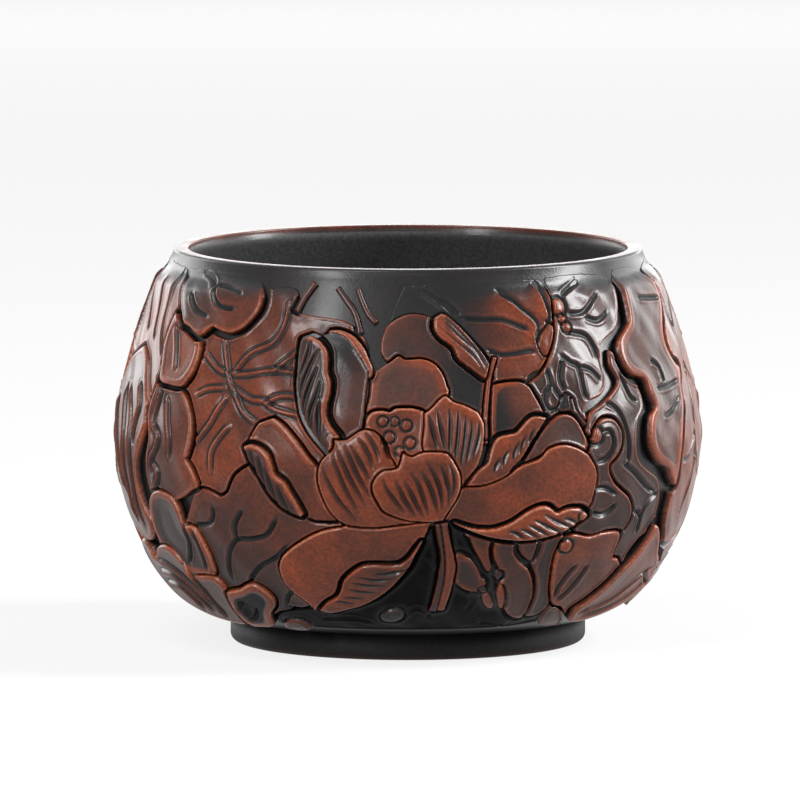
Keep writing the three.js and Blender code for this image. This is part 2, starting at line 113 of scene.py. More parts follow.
def spline(points: Line, steps: int = 5) -> Array:
    """Runs a smooth line through given points.

    Args:
        points: the points that the line passes through.
        steps: pieces that each span is cut into.

    Returns:
        An array of points on the line.
    """
    p = np.asarray(points, float)
    if len(p) < 3:
        return p
    padded = np.vstack([p[0], p, p[-1]])
    t = np.arange(steps)[:, None] / steps
    spans = []
    for a, b, c, d in zip(padded, padded[1:], padded[2:], padded[3:]):
        straight = 2 * b + (c - a) * t
        spans.append(0.5 * (straight + (2 * a - 5 * b + 4 * c - d) * t**2 + (3 * b - a - 3 * c + d) * t**3))
    return np.vstack([*spans, p[-1:]])


def bezier(points: Line, steps: int) -> Array:
    """A cubic curve through two ends, drawn by two handles.

    Args:
        points: the first end, its handle, the other end's handle, and the other end.
        steps: how many points it has.

    Returns:
        An array of points on the curve.
    """
    a, b, c, d = np.asarray(points, float)
    t = np.linspace(0, 1, steps)[:, None]
    return a * (1 - t) ** 3 + 3 * b * t * (1 - t) ** 2 + 3 * c * t**2 * (1 - t) + d * t**3


def evenly(line: Array, count: int) -> Array:
    """Cuts a line into points that lie evenly along it.

    Args:
        line: the line's points.
        count: how many points to cut it into.

    Returns:
        An array of points.
    """
    length = np.concatenate([[0], np.cumsum(np.hypot(*np.diff(line, axis=0).T))])
    at = np.linspace(0, length[-1], count)
    return np.column_stack([np.interp(at, length, line[:, k]) for k in (0, 1)])


def distance_to(line: Array, u: Array, v: Array) -> tuple[Array, Array]:
    """Measures how far points lie from a line.

    Args:
        line: the line's points.
        u: the points' first coordinates.
        v: the points' second coordinates.

    Returns:
        The distances, and how far along the line each nearest point lies, from 0 to 1.
    """
    best = np.full(u.shape, np.inf)
    along = np.zeros(u.shape)
    lengths = np.hypot(*np.diff(line, axis=0).T)
    total = max(lengths.sum(), 1e-9)
    done = 0.0
    for (ax, ay), (bx, by), length in zip(line, line[1:], lengths):
        dx, dy = bx - ax, by - ay
        t = np.clip(((u - ax) * dx + (v - ay) * dy) / max(length**2, 1e-12), 0, 1)
        gap = np.hypot(u - ax - t * dx, v - ay - t * dy)
        nearer = gap < best
        best = np.where(nearer, gap, best)
        along = np.where(nearer, (done + t * length) / total, along)
        done += length
    return best, along


def inside(ring: Array, u: Array, v: Array) -> Array:
    """Tells which points lie inside a closed ring.

    Args:
        ring: the ring's points.
        u: the points' first coordinates.
        v: the points' second coordinates.

    Returns:
        True for each point that the ring encloses.
    """
    odd = np.zeros(u.shape, bool)
    for (ax, ay), (bx, by) in zip(ring, np.roll(ring, -1, axis=0)):
        if ay == by:
            continue
        crosses = (ay > v) != (by > v)
        odd ^= crosses & (u < (bx - ax) * (v - ay) / (by - ay) + ax)
    return odd


def depth_inside(ring: Array, u: Array, v: Array) -> Array:
    """Measures how deep inside a ring each point lies. Outside it is negative."""
    gap, _ = distance_to(np.vstack([ring, ring[:1]]), u, v)
    return np.where(inside(ring, u, v), gap, -gap)


def hand_over(piece: bpy.types.Object, node: str, paint: bpy.types.Material) -> None:
    """Gives a finished piece its glaze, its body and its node.

    Args:
        piece: the piece.
        node: the frame's node that it stands for.
        paint: its glaze.
    """
    piece.data.materials.append(paint)
    bpy.context.collection.objects.link(piece)
    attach(piece, "root")
    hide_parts(node)


# The wall that everything lies on.


@dataclass(frozen=True)
class Wall:
    """The thrown bowl's outside, in millimetres.

    Heights are measured from the foot's resting face, and runs along the wall from the foot up.
    The wall's curve runs on past the shoulder by a share of the way from the belly, and the table
    of its runs ends a little past it, with rows that lie closer near the foot.
    """

    rim_height: float = 60.0
    belly_height: float = 32.0
    belly_radius: float = 43.4
    shoulder_radius: float = 36.0
    shoulder_height: float = 58.5
    mouth_radius: float = 33.6
    thickness: float = 3.0
    floor_thickness: float = 3.5
    foot_height: float = 4.0
    foot_radius: float = 27.0
    foot_width: float = 4.5
    hip_fullness: float = 1.8
    shoulder_fullness: float = 1.45
    inside_fullness: float = 2.8
    past_shoulder: float = 1.1
    table_end: float = 0.6
    table_rows: int = 1500
    table_bias: float = 1.6

    def radius(self, height: Array) -> Array:
        """The outer radius.

        Args:
            height: heights in millimetres.

        Returns:
            The radius at each height.
        """
        low = np.clip((height - self.foot_height) / (self.belly_height - self.foot_height), 0, 1)
        hip = (1 - (1 - low) ** self.hip_fullness) ** (1 / self.hip_fullness)
        rise = (height - self.belly_height) / (self.shoulder_height - self.belly_height)
        turn_in = 1 - np.clip(rise, 0, self.past_shoulder) ** self.shoulder_fullness
        under = self.foot_radius + (self.belly_radius - self.foot_radius) * hip
        over = self.shoulder_radius + (self.belly_radius - self.shoulder_radius) * turn_in
        return np.where(height <= self.belly_height, under, over)

    def inner_radius(self, height: Array) -> Array:
        """The radius of the hollow.

        Args:
            height: heights in millimetres.

        Returns:
            The radius at each height.
        """
        floor = self.foot_height + self.floor_thickness
        share = np.clip((height - floor) / (self.belly_height - floor), 0, 1)
        full = (1 - (1 - share) ** self.inside_fullness) ** (1 / self.inside_fullness)
        round_part = (self.belly_radius - self.thickness) * full
        return np.where(height >= self.belly_height, self.radius(height) - self.thickness, round_part)

    def table(self) -> tuple[Array, Array, Array]:
        """Follows the wall from the foot up.

        Returns:
            Heights, radii and runs along the wall, closely sampled.
        """
        share = np.linspace(0, 1, self.table_rows) ** self.table_bias
        heights = self.foot_height + (self.shoulder_height + self.table_end - self.foot_height) * share
        radii = self.radius(heights)
        runs = np.concatenate([[0], np.cumsum(np.hypot(np.diff(heights), np.diff(radii)))])
        return heights, radii, runs

    def run_at(self, height: Array) -> Array:
        """The run along the wall that belongs to a height."""
        heights, _, runs = self.table()
        return np.interp(height, heights, runs)

    def height_at(self, run: Array) -> Array:
        """The height that belongs to a run along the wall."""
        heights, _, runs = self.table()
        return np.interp(run, runs, heights)

    def place(self, turn: Array, run: Array, out: Array) -> Array:
        """Points over the wall, in metres.

        Args:
            turn: degrees round the cup from the front, positive to the right.
            run: millimetres along the wall from the foot.
            out: millimetres out along the wall's normal.

        Returns:
            An array of x, y, z.
        """
        heights, radii, runs = self.table()
        tilt = np.arctan2(np.gradient(radii, runs), np.gradient(heights, runs))
        z, r, lean = (np.interp(run, runs, a) for a in (heights, radii, tilt))
        r = r + out * np.cos(lean)
        z = z - out * np.sin(lean)
        a = np.radians(turn)
        return np.column_stack([r * np.sin(a), -r * np.cos(a), z]) * MM


WALL = Wall()


# What is carved.


class Side(Enum):
    """Which side of a face carries its rolled rim."""

    ALL = "all"
    LEFT = "left"
    RIGHT = "right"


@dataclass(frozen=True)
class Shape:
    """One face of a petal, leaf or stem, drawn as degrees round the cup and heights.

    A tone is -1 where painted shade makes a recess matt black, 0 on plain dark glaze and 1 on red-brown clay
    that rubbing lays bare.

    Attributes:
        left: the left side from the base up.
        right: the right side from the base up.
        top: points over the tip, from left to right.
        ring: the whole outline, for a leaf.
        path: the middle line, for a stem or twig.
        width: a stem's width.
        rise: height of the face over the wall.
        base_rise: height at the base, where it differs.
        hollow: how far the face dips behind its rim.
        rim: width of the rim.
        rim_side: the side that the rim runs along.
        bead: how far the rim stands up.
        edge: radius of the rounded edge.
        round: how far the face is domed like a roll.
        tone: the face's tone.
        rim_tone: the rim's tone.
        lean: how much browner the face grows to the right and upwards, over half its size.
        grooves: tapered strokes cut into the face.
        groove_depth: how deep the strokes are.
        groove_width: half their width in the middle.
        veins: carved lines with their own paths.
        vein_depth: how deep the veins are.
        ridged: whether the veins stand up as ridges between two thin lines.
        folds: steps where one lobe lies over the next, the higher lobe on the line's left.
        beads: small round buds on the face, as degrees, height, radius and rise.
        waves: height of slow waves in the face.
        clear: width of the carved gap round it.
        shadow: how far past the gap painted shadow keeps the face behind dark.
        top_fade: whether it melts into the plain band under the lip.
        sinks: soft round places where it melts into the wall, as degrees, height and radius.
    """

    left: Line = ()
    right: Line = ()
    top: Line = ()
    ring: Line = ()
    path: Line = ()
    width: float = 2.0
    rise: float = 1.2
    base_rise: float | None = None
    hollow: float = 0.0
    rim: float = 0.5
    rim_side: Side = Side.ALL
    bead: float = 0.1
    edge: float = 0.3
    round: float = 0.0
    tone: float = 0.85
    rim_tone: float = 1.0
    lean: tuple[float, float] = (0.0, 0.0)
    grooves: Sequence[Line] = ()
    groove_depth: float = 0.4
    groove_width: float = 0.3
    veins: Sequence[Line] = ()
    vein_depth: float = 0.35
    ridged: bool = False
    folds: Sequence[Line] = ()
    beads: Sequence[tuple[float, float, float, float]] = ()
    waves: float = 0.0
    clear: float = 0.5
    shadow: float = 1.2
    top_fade: bool = False
    sinks: Sequence[tuple[float, float, float]] = ()


@dataclass(frozen=True)
class Carving:
    """One piece of relief: its name in the frame, its face, and further faces on it."""

    name: str
    faces: tuple[Shape, ...]


LEAVES: tuple[Carving, ...] = (
    Carving("leaf_far_left", (
        Shape(ring=((-68, 58.3), (-60, 56), (-57, 50), (-58, 44), (-60, 39), (-66.5, 37.5), (-72, 42.5),
                    (-79, 44), (-88, 46), (-90, 54), (-84, 58.3), (-76, 58.4)),
              rise=0.95, waves=0.15, tone=0.6, top_fade=True, rim_tone=0.8,
              veins=(((-67.7, 58.2), (-67.7, 54.1), (-66.6, 50.3), (-64.7, 47.1), (-62.4, 44.7)),
                     ((-76, 56.5), (-72, 51.5), (-69, 47)), ((-84, 56), (-79, 52), (-74, 48)))),
        Shape(ring=((-73, 46), (-69, 44), (-65.5, 40), (-63, 36.5), (-65, 32.5), (-68, 29), (-68.8, 26),
                    (-67.8, 22.4), (-65.8, 20.2), (-67.4, 18), (-72, 17), (-79, 18), (-86, 22), (-89, 30),
                    (-88, 38), (-82, 43), (-78, 44.6)),
              rise=1.25, round=0.3, tone=0.3, rim_tone=0.9, rim=1.0, waves=0.15, ridged=True,
              vein_depth=0.45,
              veins=(((-75.2, 40.1), (-72, 36.7), (-71, 32.2), (-71, 27.6), (-71, 23), (-70, 19.6)),
                     ((-69.1, 40.6), (-67.5, 37.7), (-68, 35.4), (-68.6, 32.3)),
                     ((-78, 40), (-75.4, 34), (-75, 27), (-74, 20)), ((-84, 38), (-80, 31), (-78, 24)))),
    )),
    Carving("leaf_veined_left", (
        Shape(ring=((-37, 56), (-31, 57), (-26.5, 56.6), (-25.4, 53.8), (-23.2, 53.1), (-16.7, 52.7),
                    (-13.1, 52.1), (-9.6, 50), (-8, 46), (-9, 38), (-14, 30), (-20, 25), (-30, 25),
                    (-40, 24), (-48, 27), (-51, 31), (-52, 36), (-52, 42), (-51, 48), (-45, 50.6),
                    (-40, 51)),
              rise=0.75, waves=0.25, tone=0.62, rim_tone=0.5, lean=(-0.2, -0.3), ridged=True,
              vein_depth=0.28, top_fade=True,
              veins=(((-27.9, 54.6), (-27.7, 51.8), (-30.1, 48.8), (-34.8, 47.2), (-39.3, 43.8)),
                     ((-39.3, 43.8), (-34.8, 44), (-31.1, 44.6), (-27.5, 44.8), (-22, 44.4)),
                     ((-29, 44.7), (-26.4, 46.3), (-23.6, 47.8)),
                     ((-38.3, 42), (-33.6, 40.4), (-30.4, 40.2), (-27.5, 39.1), (-22, 38.4)),
                     ((-29.7, 39.9), (-26.8, 41.1), (-22.6, 41.1)),
                     ((-43, 49), (-41.3, 45.8), (-39.8, 43), (-37.3, 40.8), (-34.8, 38.3), (-31, 36.8)),
                     ((-47.6, 46.4), (-44, 44.6), (-40.6, 43.8)),
                     ((-48, 40.4), (-44.6, 41.4), (-40.6, 41.8)),
                     ((-46.4, 33.6), (-43, 36.4), (-39.6, 40.6)),
                     ((-42.4, 29.4), (-41.6, 33), (-38, 36.4)))),
        Shape(path=((-22.2, 57.8), (-24.4, 55.6), (-25.8, 53.4)), width=1.1, rise=0.8, round=0.4, tone=0.2,
              rim_tone=0.2),
        Shape(path=((-16.6, 57.2), (-14.2, 55.4), (-12, 53.6), (-10.4, 50.6)), width=0.9, rise=0.7,
              round=0.3, tone=0.15, rim_tone=0.15),
        Shape(path=((-11.8, 57.2), (-10.4, 55.2), (-8.8, 53.4), (-7, 52.2)), width=0.8, rise=0.7,
              round=0.3, tone=0.15, rim_tone=0.15),
    )),
    Carving("leaf_low_left", (
        Shape(ring=((-40.2, 25.7), (-38.2, 26.5), (-37, 28), (-35.6, 29.4), (-32.1, 30.9), (-28, 31),
                    (-20, 26), (-12, 24), (-6, 18), (-8, 12), (-14, 8), (-26, 7), (-36, 8), (-46, 9),
                    (-53, 12), (-54, 18), (-50, 23), (-45.6, 26.6)),
              rise=0.85, waves=0.15, tone=0.3, rim_tone=0.55, rim=1.6, lean=(0.2, 0.3), vein_depth=0.4,
              veins=(((-42.4, 13), (-42, 15.2), (-40.2, 17.7), (-37.7, 19.4), (-33.7, 19.7), (-30.1, 20.5),
                      (-27.9, 22.4), (-26.8, 23.6)), ((-37.7, 19.4), (-37.5, 21.6), (-35.1, 24.1)),
                     ((-37.7, 12.6), (-34, 15.2), (-28.6, 17.2), (-25, 19.4)),
                     ((-48.8, 21), (-46, 21.2), (-44, 21.6), (-42.8, 22.8), (-42.8, 24.2)),
                     ((-29.8, 9.4), (-28.6, 11), (-26, 12), (-23.6, 11), (-23.6, 9.8), (-26, 9.2),
                      (-29.8, 9.4)))),
    )),
    Carving("leaf_hub_right", (
        Shape(ring=((-1, 57.6), (10, 58.2), (20, 58.3), (29, 58.2), (33.6, 57.6), (33.8, 54), (33.1, 51.4),
                    (32, 48.9), (30.6, 46.9), (28.5, 45.1), (25, 43.7), (22, 38), (18, 34), (12, 36),
                    (8, 42), (0, 46), (-4, 52)),
              rise=0.85, waves=0.1, tone=0.62, rim_tone=0.6, vein_depth=0.26, top_fade=True,
              veins=(((3, 57.1), (5.5, 56.2), (8.4, 54.7), (10.9, 52.9)),
                     ((7.3, 55.6), (9.5, 54.7), (11.7, 53.3)),
                     ((11.6, 52.9), (16.2, 52.6), (20.8, 52.4), (24.1, 51.6), (27.4, 50.6)),
                     ((16.9, 48.3), (19.6, 47.4), (23, 47.4), (26.5, 47.7), (28.1, 47.5))),
              folds=(((28.3, 48.2), (28.1, 49.7), (28.9, 51.1), (28, 52.2), (25.9, 53.4), (23.8, 54.7),
                      (21.6, 55.7), (20, 57)),
                     ((30.8, 51.6), (32.2, 52.5), (32.1, 53.6), (31.6, 55.1), (31.1, 56.6), (30, 57.6))),
              sinks=((-2, 52, 9.5), (6, 58, 7.5), (9, 45, 5.0), (6, 50, 7.0))),
        Shape(ring=((32.5, 51.5), (30.5, 50.4), (29.2, 49.2), (29, 48.2), (30.1, 46.9), (32.2, 48.3),
                    (33.4, 50.3)),
              rise=1.05, round=0.35, tone=0.55, rim_tone=0.7, clear=0.4),
    )),
    Carving("leaf_bright_right", (
        Shape(ring=((34, 58.2), (41, 58.5), (48, 58.3), (54.4, 57.4), (54.8, 54.1), (53.1, 51.5),
                    (51.9, 50.3), (48.9, 49.1), (45.4, 47.9), (44.3, 45.3), (44.6, 42.4), (42.7, 40.6),
                    (39.7, 40), (37.7, 38.8), (37.4, 36.5), (33, 33), (25, 36), (23, 40), (25.4, 43),
                    (28, 44.2), (30.4, 46), (32.6, 48.6), (34, 51.4), (34.4, 55)),
              rise=0.85, waves=0.2, tone=0.12, rim_tone=0.4, vein_depth=0.32, top_fade=True,
              veins=(((37.6, 52.7), (42, 52.7), (46, 54.4), (48.5, 55.3)),
                     ((42.3, 52), (46, 51.3), (50, 52.5)),
                     ((36.2, 50.1), (41.2, 49.4), (43, 47.7), (43.4, 45.8)),
                     ((33.6, 46.9), (36.2, 45.5), (37.6, 44.9), (38, 41.3), (39, 40)),
                     ((37.6, 44.9), (40.5, 44.4), (43, 42.7)), ((37.3, 55.4), (40.4, 56.4), (44, 57.4)),
                     ((29.7, 45.4), (30.3, 42.8), (28.8, 41.5), (28.3, 40.2), (29.2, 39), (31, 39.1),
                      (32.2, 40.2), (31.4, 41.6), (30.3, 42.8)), ((34, 46.2), (32.8, 43.6), (33.4, 41.6))),
              beads=((35.5, 53.8, 1.3, 0.5), (35.9, 52, 0.7, 0.4), (36.6, 50.7, 0.8, 0.4))),
        Shape(ring=((31.9, 40.2), (33.4, 41.2), (34.9, 40.5), (35.2, 39.2), (33.2, 38.6), (31.5, 39)),
              rise=1.25, round=0.5, tone=0.0, rim_tone=0.0, clear=0.3),
        Shape(path=((34.6, 40.4), (35, 38.8), (36.2, 37.2), (37.6, 36)), width=0.7, rise=1.2, round=0.3,
              tone=0.1, rim_tone=0.1, clear=0.3),
    )),
    Carving("leaf_folded_right", (
        Shape(ring=((47.3, 47), (50, 45.4), (52.4, 42.6), (54.4, 40.4), (54.6, 37.9), (52.3, 36.5),
                    (51.2, 34.4), (50.8, 32.1), (51.9, 30.3), (55, 28.8), (58.6, 27.4), (60.4, 25.2),
                    (60.8, 22.4), (59.6, 20), (55, 17.6), (50, 12), (42, 12), (38, 24), (37, 32),
                    (38.4, 37.6), (42, 39.2), (45.4, 40.6), (48.1, 42.4), (46.6, 44.7)),
              rise=0.9, waves=0.15, tone=0.12, rim_tone=0.4, vein_depth=0.4,
              veins=(((43, 39.6), (46.6, 38), (48.6, 34), (48, 30)), ((49, 43.4), (50.6, 40), (52.6, 39)),
                     ((46.6, 30.4), (50, 29), (55, 26.4), (58, 25.4)),
                     ((59.6, 25.2), (57, 24.2), (55.2, 22.8), (54.6, 21), (55, 19.4)),
                     ((51, 22.7), (53, 22.8), (54.4, 21.8)))),
    )),
    Carving("leaf_far_right", (
        Shape(ring=((67, 15.6), (69, 17.6), (74, 18.6), (80, 19), (88, 20), (94, 18), (99, 13), (98, 8.4),
                    (90, 6.6), (80, 6.6), (72, 8), (69, 11)),
              rise=1.0, tone=0.3, rim_tone=0.7,
              veins=(((70.6, 13.6), (76, 13.4), (84, 14.6), (93, 13.8)),
                     ((71.4, 11), (78, 10), (86, 11), (94, 10.6)))),
        Shape(ring=((75, 57.6), (72, 51), (71, 43.6), (70, 38), (68.8, 34), (66.6, 28), (65.4, 23.6),
                    (66, 20.2), (68, 17.8), (71, 16.8), (78, 17.4), (86, 19), (92, 26), (93, 36), (91, 46),
                    (93, 54), (88, 58.2), (80, 58.3)),
              rise=1.15, waves=0.15, tone=0.45, rim_tone=0.9, clear=1.2, top_fade=True,
              veins=(((78, 54), (79, 43), (78, 36), (77, 28), (74, 21)), ((79, 43), (83, 40), (88, 38)),
                     ((78, 34), (73.6, 30), (70, 29)), ((77.6, 30), (83, 27), (88, 26)),
                     ((79, 48), (84, 52), (87, 56)))),
    )),
    Carving("leaf_tall_right", (
        Shape(ring=((58.4, 58.4), (57, 57), (57, 54.7), (56, 50.9), (53.7, 49.5), (50.8, 48.2),
                    (49.8, 46.8), (50.2, 44.9), (52.3, 43), (56, 42.1), (56.8, 40), (58, 37.9),
                    (56.1, 36.7), (55, 35), (54.8, 32.6), (56.2, 30.8), (58.5, 29.6), (61.5, 28.7),
                    (63.4, 27.3), (66.1, 25.9), (66.7, 29.1), (67.4, 32.1), (69, 35), (70.9, 37.6),
                    (71.3, 40), (73.4, 42.4), (70.8, 43.5), (68.6, 45.9), (69.2, 48.2), (72.2, 50.6),
                    (74.6, 53), (73, 57), (66, 58.4)),
              rise=1.45, waves=0.15, hollow=0.15, rim=1.2, tone=0.22, rim_tone=0.8, clear=1.3,
              top_fade=True,
              veins=(((62.6, 53.6), (66, 53.4), (73, 52.9)), ((60, 40.4), (64.4, 40.4), (70, 40.9)),
                     ((61.1, 36.2), (65, 36.8), (68.8, 38.5)), ((60, 44.6), (62.6, 43.4), (63.4, 40.9)))),
    )),
    Carving("leaf_curled_right", (
        Shape(ring=((39.2, 35.6), (40.8, 36.8), (42.7, 37.2), (45, 36.8), (46.6, 35), (46.2, 32.9),
                    (44.6, 31.5), (43, 30.6), (42.9, 29.4), (44.6, 27.6), (47.3, 26.2), (49.6, 25),
                    (51.2, 22.9), (50.4, 20.9), (48.7, 19.6), (48.3, 16.2), (46, 12), (40, 11), (36, 13),
                    (34, 18), (34, 24), (36, 30)),
              rise=1.05, waves=0.12, tone=0.1, rim_tone=0.5, vein_depth=0.45,
              veins=(((41, 35), (43.4, 35.2), (44, 33.2), (42, 31.4), (39.6, 31)),
                     ((39.5, 27), (42.4, 27), (45.4, 25.9)),
                     ((39.5, 23.5), (42, 23), (44, 23.4), (45.8, 24.4))),
              beads=((39.4, 34.8, 1.2, 0.45),)),
    )),
    Carving("leaf_low_middle", (
        # The low ground's tone of -1 is painted shade, which keeps it matt black.
        Shape(ring=((-36, 6.1), (-26, 5.9), (-10, 5.9), (4, 5.9), (18, 5.9), (30, 6.1), (37.6, 7),
                    (37, 9.4), (35, 13), (34.4, 17), (35, 21.4), (28, 22.6), (18, 23), (8, 23), (0, 20),
                    (-8, 15), (-13, 10.6), (-20, 9.4), (-26, 9), (-32, 8.4), (-35, 7.4)),
              rise=0.6, waves=0.2, tone=-1.0, rim_tone=-1.0, vein_depth=0.3,
              veins=(((3.4, 17.4), (4.6, 16.5), (5.8, 15.3)), ((-1, 8.2), (1.6, 9.6), (4.6, 9), (5.2, 8)),
                     ((-22, 7.4), (-15, 7.8), (-9, 7.2)), ((10, 14.5), (13.2, 13), (15, 11), (14.5, 9.2))),
              folds=(((18, 7), (19.8, 7.3), (23, 7), (26.1, 6.4)),)),
        Shape(ring=((9.1, 17.3), (10.5, 18.2), (12.4, 17.7), (13.8, 16.9), (15.1, 15.7), (16.1, 14.4),
                    (17.2, 13.8), (16.9, 12.6), (14.5, 12.2), (11.5, 13), (9.6, 14.6)),
              rise=0.9, waves=0.1, tone=0.1, rim_tone=0.5, rim=0.6, clear=0.6),
        Shape(ring=((11.8, 21), (12.8, 20.2), (13.6, 19), (15, 17.4), (17, 15.4), (18, 15.6), (17.6, 17),
                    (17, 18.8), (17.4, 20.8), (15, 21.6)),
              rise=0.85, tone=0.3, rim_tone=0.5, clear=0.5),
        Shape(ring=((18.2, 20.8), (17.8, 18.9), (18.3, 17.3), (19.6, 15.9), (20.9, 15.1), (20.3, 13.8),
                    (20.9, 12.5), (22.6, 11.2), (22.9, 9.9), (24.5, 8.6), (27.3, 7.8), (28.8, 7.9),
                    (29.2, 9.5), (29.2, 11.3), (28.2, 13.4), (26.9, 15.1), (25.5, 15.9), (23.7, 16.9),
                    (22.2, 18.4), (21.7, 20.8)),
              rise=1.15, waves=0.15, tone=0.24, rim_tone=0.5, clear=0.7),
        Shape(ring=((28.4, 20.6), (28.6, 18.2), (28.1, 16.8), (27.2, 15.9), (28.5, 14.5), (29.6, 12.6),
                    (30.4, 10.6), (30.3, 8.9), (30.3, 7.9), (32.7, 7.9), (34.3, 8.6), (34.8, 9.6),
                    (34.6, 11), (33.2, 13), (32.6, 15), (32.7, 16.7), (33.3, 18), (33, 20.6)),
              rise=0.95, waves=0.15, tone=0.08, rim_tone=0.35, clear=0.7),
        Shape(ring=((23.4, 20.4), (23.4, 18.6), (25, 17.2), (26.8, 16.6), (27.4, 17.6), (27.3, 20.4)),
              rise=0.8, tone=0.25, rim_tone=0.4, clear=0.4),
        Shape(ring=((17.6, 12), (17.1, 11.5), (17.6, 10.5), (18.9, 9.5), (20.3, 9.3), (20.4, 10.1),
                    (19.4, 10.9), (18.4, 11.8)),
              rise=1.0, round=0.4, tone=0.5, clear=0.3),
        Shape(ring=((20.5, 13.2), (20.4, 11.9), (21.2, 10.6), (22.2, 9.4), (23, 9.7), (23, 10.8),
                    (22.2, 12.2), (21.2, 13.2)),
              rise=1.15, round=0.4, tone=0.5, clear=0.3),
        Shape(ring=((15.8, 12.8), (16.7, 13.1), (17.7, 12.6), (17.4, 12), (16.2, 12.2)), rise=1.2,
              round=0.5, tone=0.0, rim_tone=0.0, clear=0.3),
        Shape(ring=((19, 15.4), (20.4, 15.4), (20.9, 14.6), (20, 14), (19, 14.5)), rise=1.3, round=0.5,
              tone=0.0, rim_tone=0.0, clear=0.3),
        Shape(ring=((35.4, 8.4), (35.7, 9.6), (37.5, 10), (40, 9.4), (41.9, 8.2), (44.6, 7), (45, 6.1),
                    (38, 6), (35.4, 7)),
              rise=1.2, round=0.4, tone=0.2, rim_tone=0.4, clear=0.4),
        Shape(ring=((-6.8, 8.3), (-4.6, 9.3), (-1.8, 9.4), (-1, 8.3), (-3, 7.6), (-6, 7.6)), rise=1.2,
              round=0.5, tone=0.0, rim_tone=0.0, clear=0.4),
        Shape(ring=((-35, 5.8), (-32.6, 6.9), (-29, 7.2), (-26.4, 6.4), (-27, 5.7), (-31, 5.5)), rise=1.2,
              round=0.5, tone=0.1, rim_tone=0.3, clear=0.4),
    )),
    Carving("leaf_low_right", (
        Shape(ring=((33.4, 19.8), (32.4, 17.6), (32.5, 15.4), (33.3, 12.8), (34.8, 10.8), (36.4, 9.5),
                    (38.8, 9.2), (40.8, 8.5), (43, 7.3), (46.5, 6.4), (50, 6.6), (54, 13.5), (52.4, 14.8),
                    (51.2, 15.7), (49.1, 16), (48.7, 17.4), (49.2, 19.2), (48.2, 20.1), (44, 20.2),
                    (40, 19.8), (36, 20.4)),
              rise=1.1, waves=0.12, tone=0.45, rim_tone=0.8, vein_depth=0.5,
              veins=(((35.4, 10.9), (35.8, 12.8), (37.2, 14.6), (38.6, 15.6)),
                     ((36.6, 10.3), (38.6, 11.4), (40.4, 13.2), (42, 15.4))),
              beads=((34.4, 18.7, 1.0, 0.35),)),
    )),
    Carving("petal_low_right", (
        Shape(ring=((44.2, 8.4), (48, 10), (51.5, 12.1), (54, 13.9), (57, 15.9), (59.4, 18), (61.4, 20),
                    (63.2, 19.6), (65.2, 17.9), (67.8, 15.6), (70.4, 14.6), (72.8, 12.2), (72, 9.8),
                    (66, 8.2), (58, 7), (50, 6.4), (45.6, 6.7)),
              rise=1.4, hollow=0.15, rim=0.9, tone=0.5, rim_tone=0.85, clear=1.7, vein_depth=0.5,
              veins=(((46.6, 8), (52, 8.6), (57.4, 9.6), (61, 11), (65.4, 12.6), (68.4, 13.4)),
                     ((49, 7.4), (57, 8), (64, 9.4), (70, 11.4)),
                     ((66.2, 12.8), (69, 11.6), (71.6, 10.8)))),
    )),
    Carving("leaf_lobed_left", (
        Shape(ring=((-61, 42), (-54.6, 42), (-52.8, 40.9), (-50.1, 39.4), (-47.8, 36.8), (-47.4, 34.1),
                    (-48.2, 31.5), (-49, 30.9), (-47, 29.4), (-45.9, 27.1), (-47.6, 26.4), (-51, 25),
                    (-56, 24), (-60, 24), (-62.6, 26), (-62.8, 29.8), (-61.4, 33), (-63, 37)),
              rise=1.15, waves=0.2, tone=0.4, rim_tone=0.9, clear=0.75, lean=(0.25, 0), ridged=True,
              vein_depth=0.4,
              veins=(((-59.1, 40.8), (-59.6, 38.7), (-60.4, 37.1), (-60.4, 35.1), (-58.2, 33.8),
                      (-58.4, 32.1), (-60.6, 30.3), (-61, 28.4)),
                     ((-56.5, 39.2), (-55.3, 36.6), (-53.9, 33.4), (-54.3, 31)),
                     ((-60, 29.5), (-58.6, 28.4), (-59, 26.8), (-60.4, 25.3)))),
        Shape(ring=((-63.8, 23.4), (-62, 24.8), (-59, 25.6), (-56, 25.4), (-54, 24.8), (-52.6, 23.2),
                    (-51.9, 21), (-50, 20.9), (-48.2, 20.2), (-47, 18.4), (-46.3, 16), (-46.8, 13.8),
                    (-50, 13.4), (-56, 13.8), (-62, 15.8), (-64.6, 19)),
              rise=1.3, hollow=0.3, rim=1.1, tone=0.1, rim_tone=1.0, vein_depth=0.5,
              veins=(((-52, 21), (-52, 18.6), (-53, 16.6), (-54.6, 15)),
                     ((-49.8, 20.4), (-48.8, 18), (-48.8, 14.4)))),
    )),
    Carving("petal_low_left", (
        Shape(ring=((-80, 13.4), (-79, 16), (-76, 17), (-73, 16.4), (-70.4, 15), (-67, 16.4), (-64, 17),
                    (-61, 17), (-58.6, 16), (-56.6, 14.6), (-54.6, 13.2), (-50, 13.4), (-47.4, 13.3),
                    (-45.4, 12), (-44.6, 9), (-46, 6.3), (-54, 6.2), (-64, 7), (-74, 9)),
              rise=1.4, hollow=0.2, rim=0.9, tone=0.2, rim_tone=0.8, ridged=True, vein_depth=0.4,
              veins=(((-72.4, 16), (-70.6, 14.6), (-66, 13.9), (-62, 12.9), (-58.6, 11.2), (-56, 9.9),
                      (-54.4, 8)), ((-73, 12.6), (-67, 12.3), (-63, 11.2), (-59.6, 9.4), (-57.4, 7.6)),
                     ((-73, 10.8), (-67, 10.6), (-63.6, 9.4), (-61.6, 7.8)),
                     ((-56.8, 14.4), (-55.4, 12), (-54.2, 9.4), (-53, 7)))),
        # This hollow face's tone of -0.8 is painted shade, which keeps it dark and dull.
        Shape(ring=((-45.8, 11.1), (-44, 11.4), (-41, 11.8), (-38.6, 12.5), (-36.4, 12.9), (-34, 12.2),
                    (-32.2, 10.9), (-32.6, 9.7), (-34.6, 8.7), (-35.9, 7.7), (-37, 6.4), (-41, 6.1),
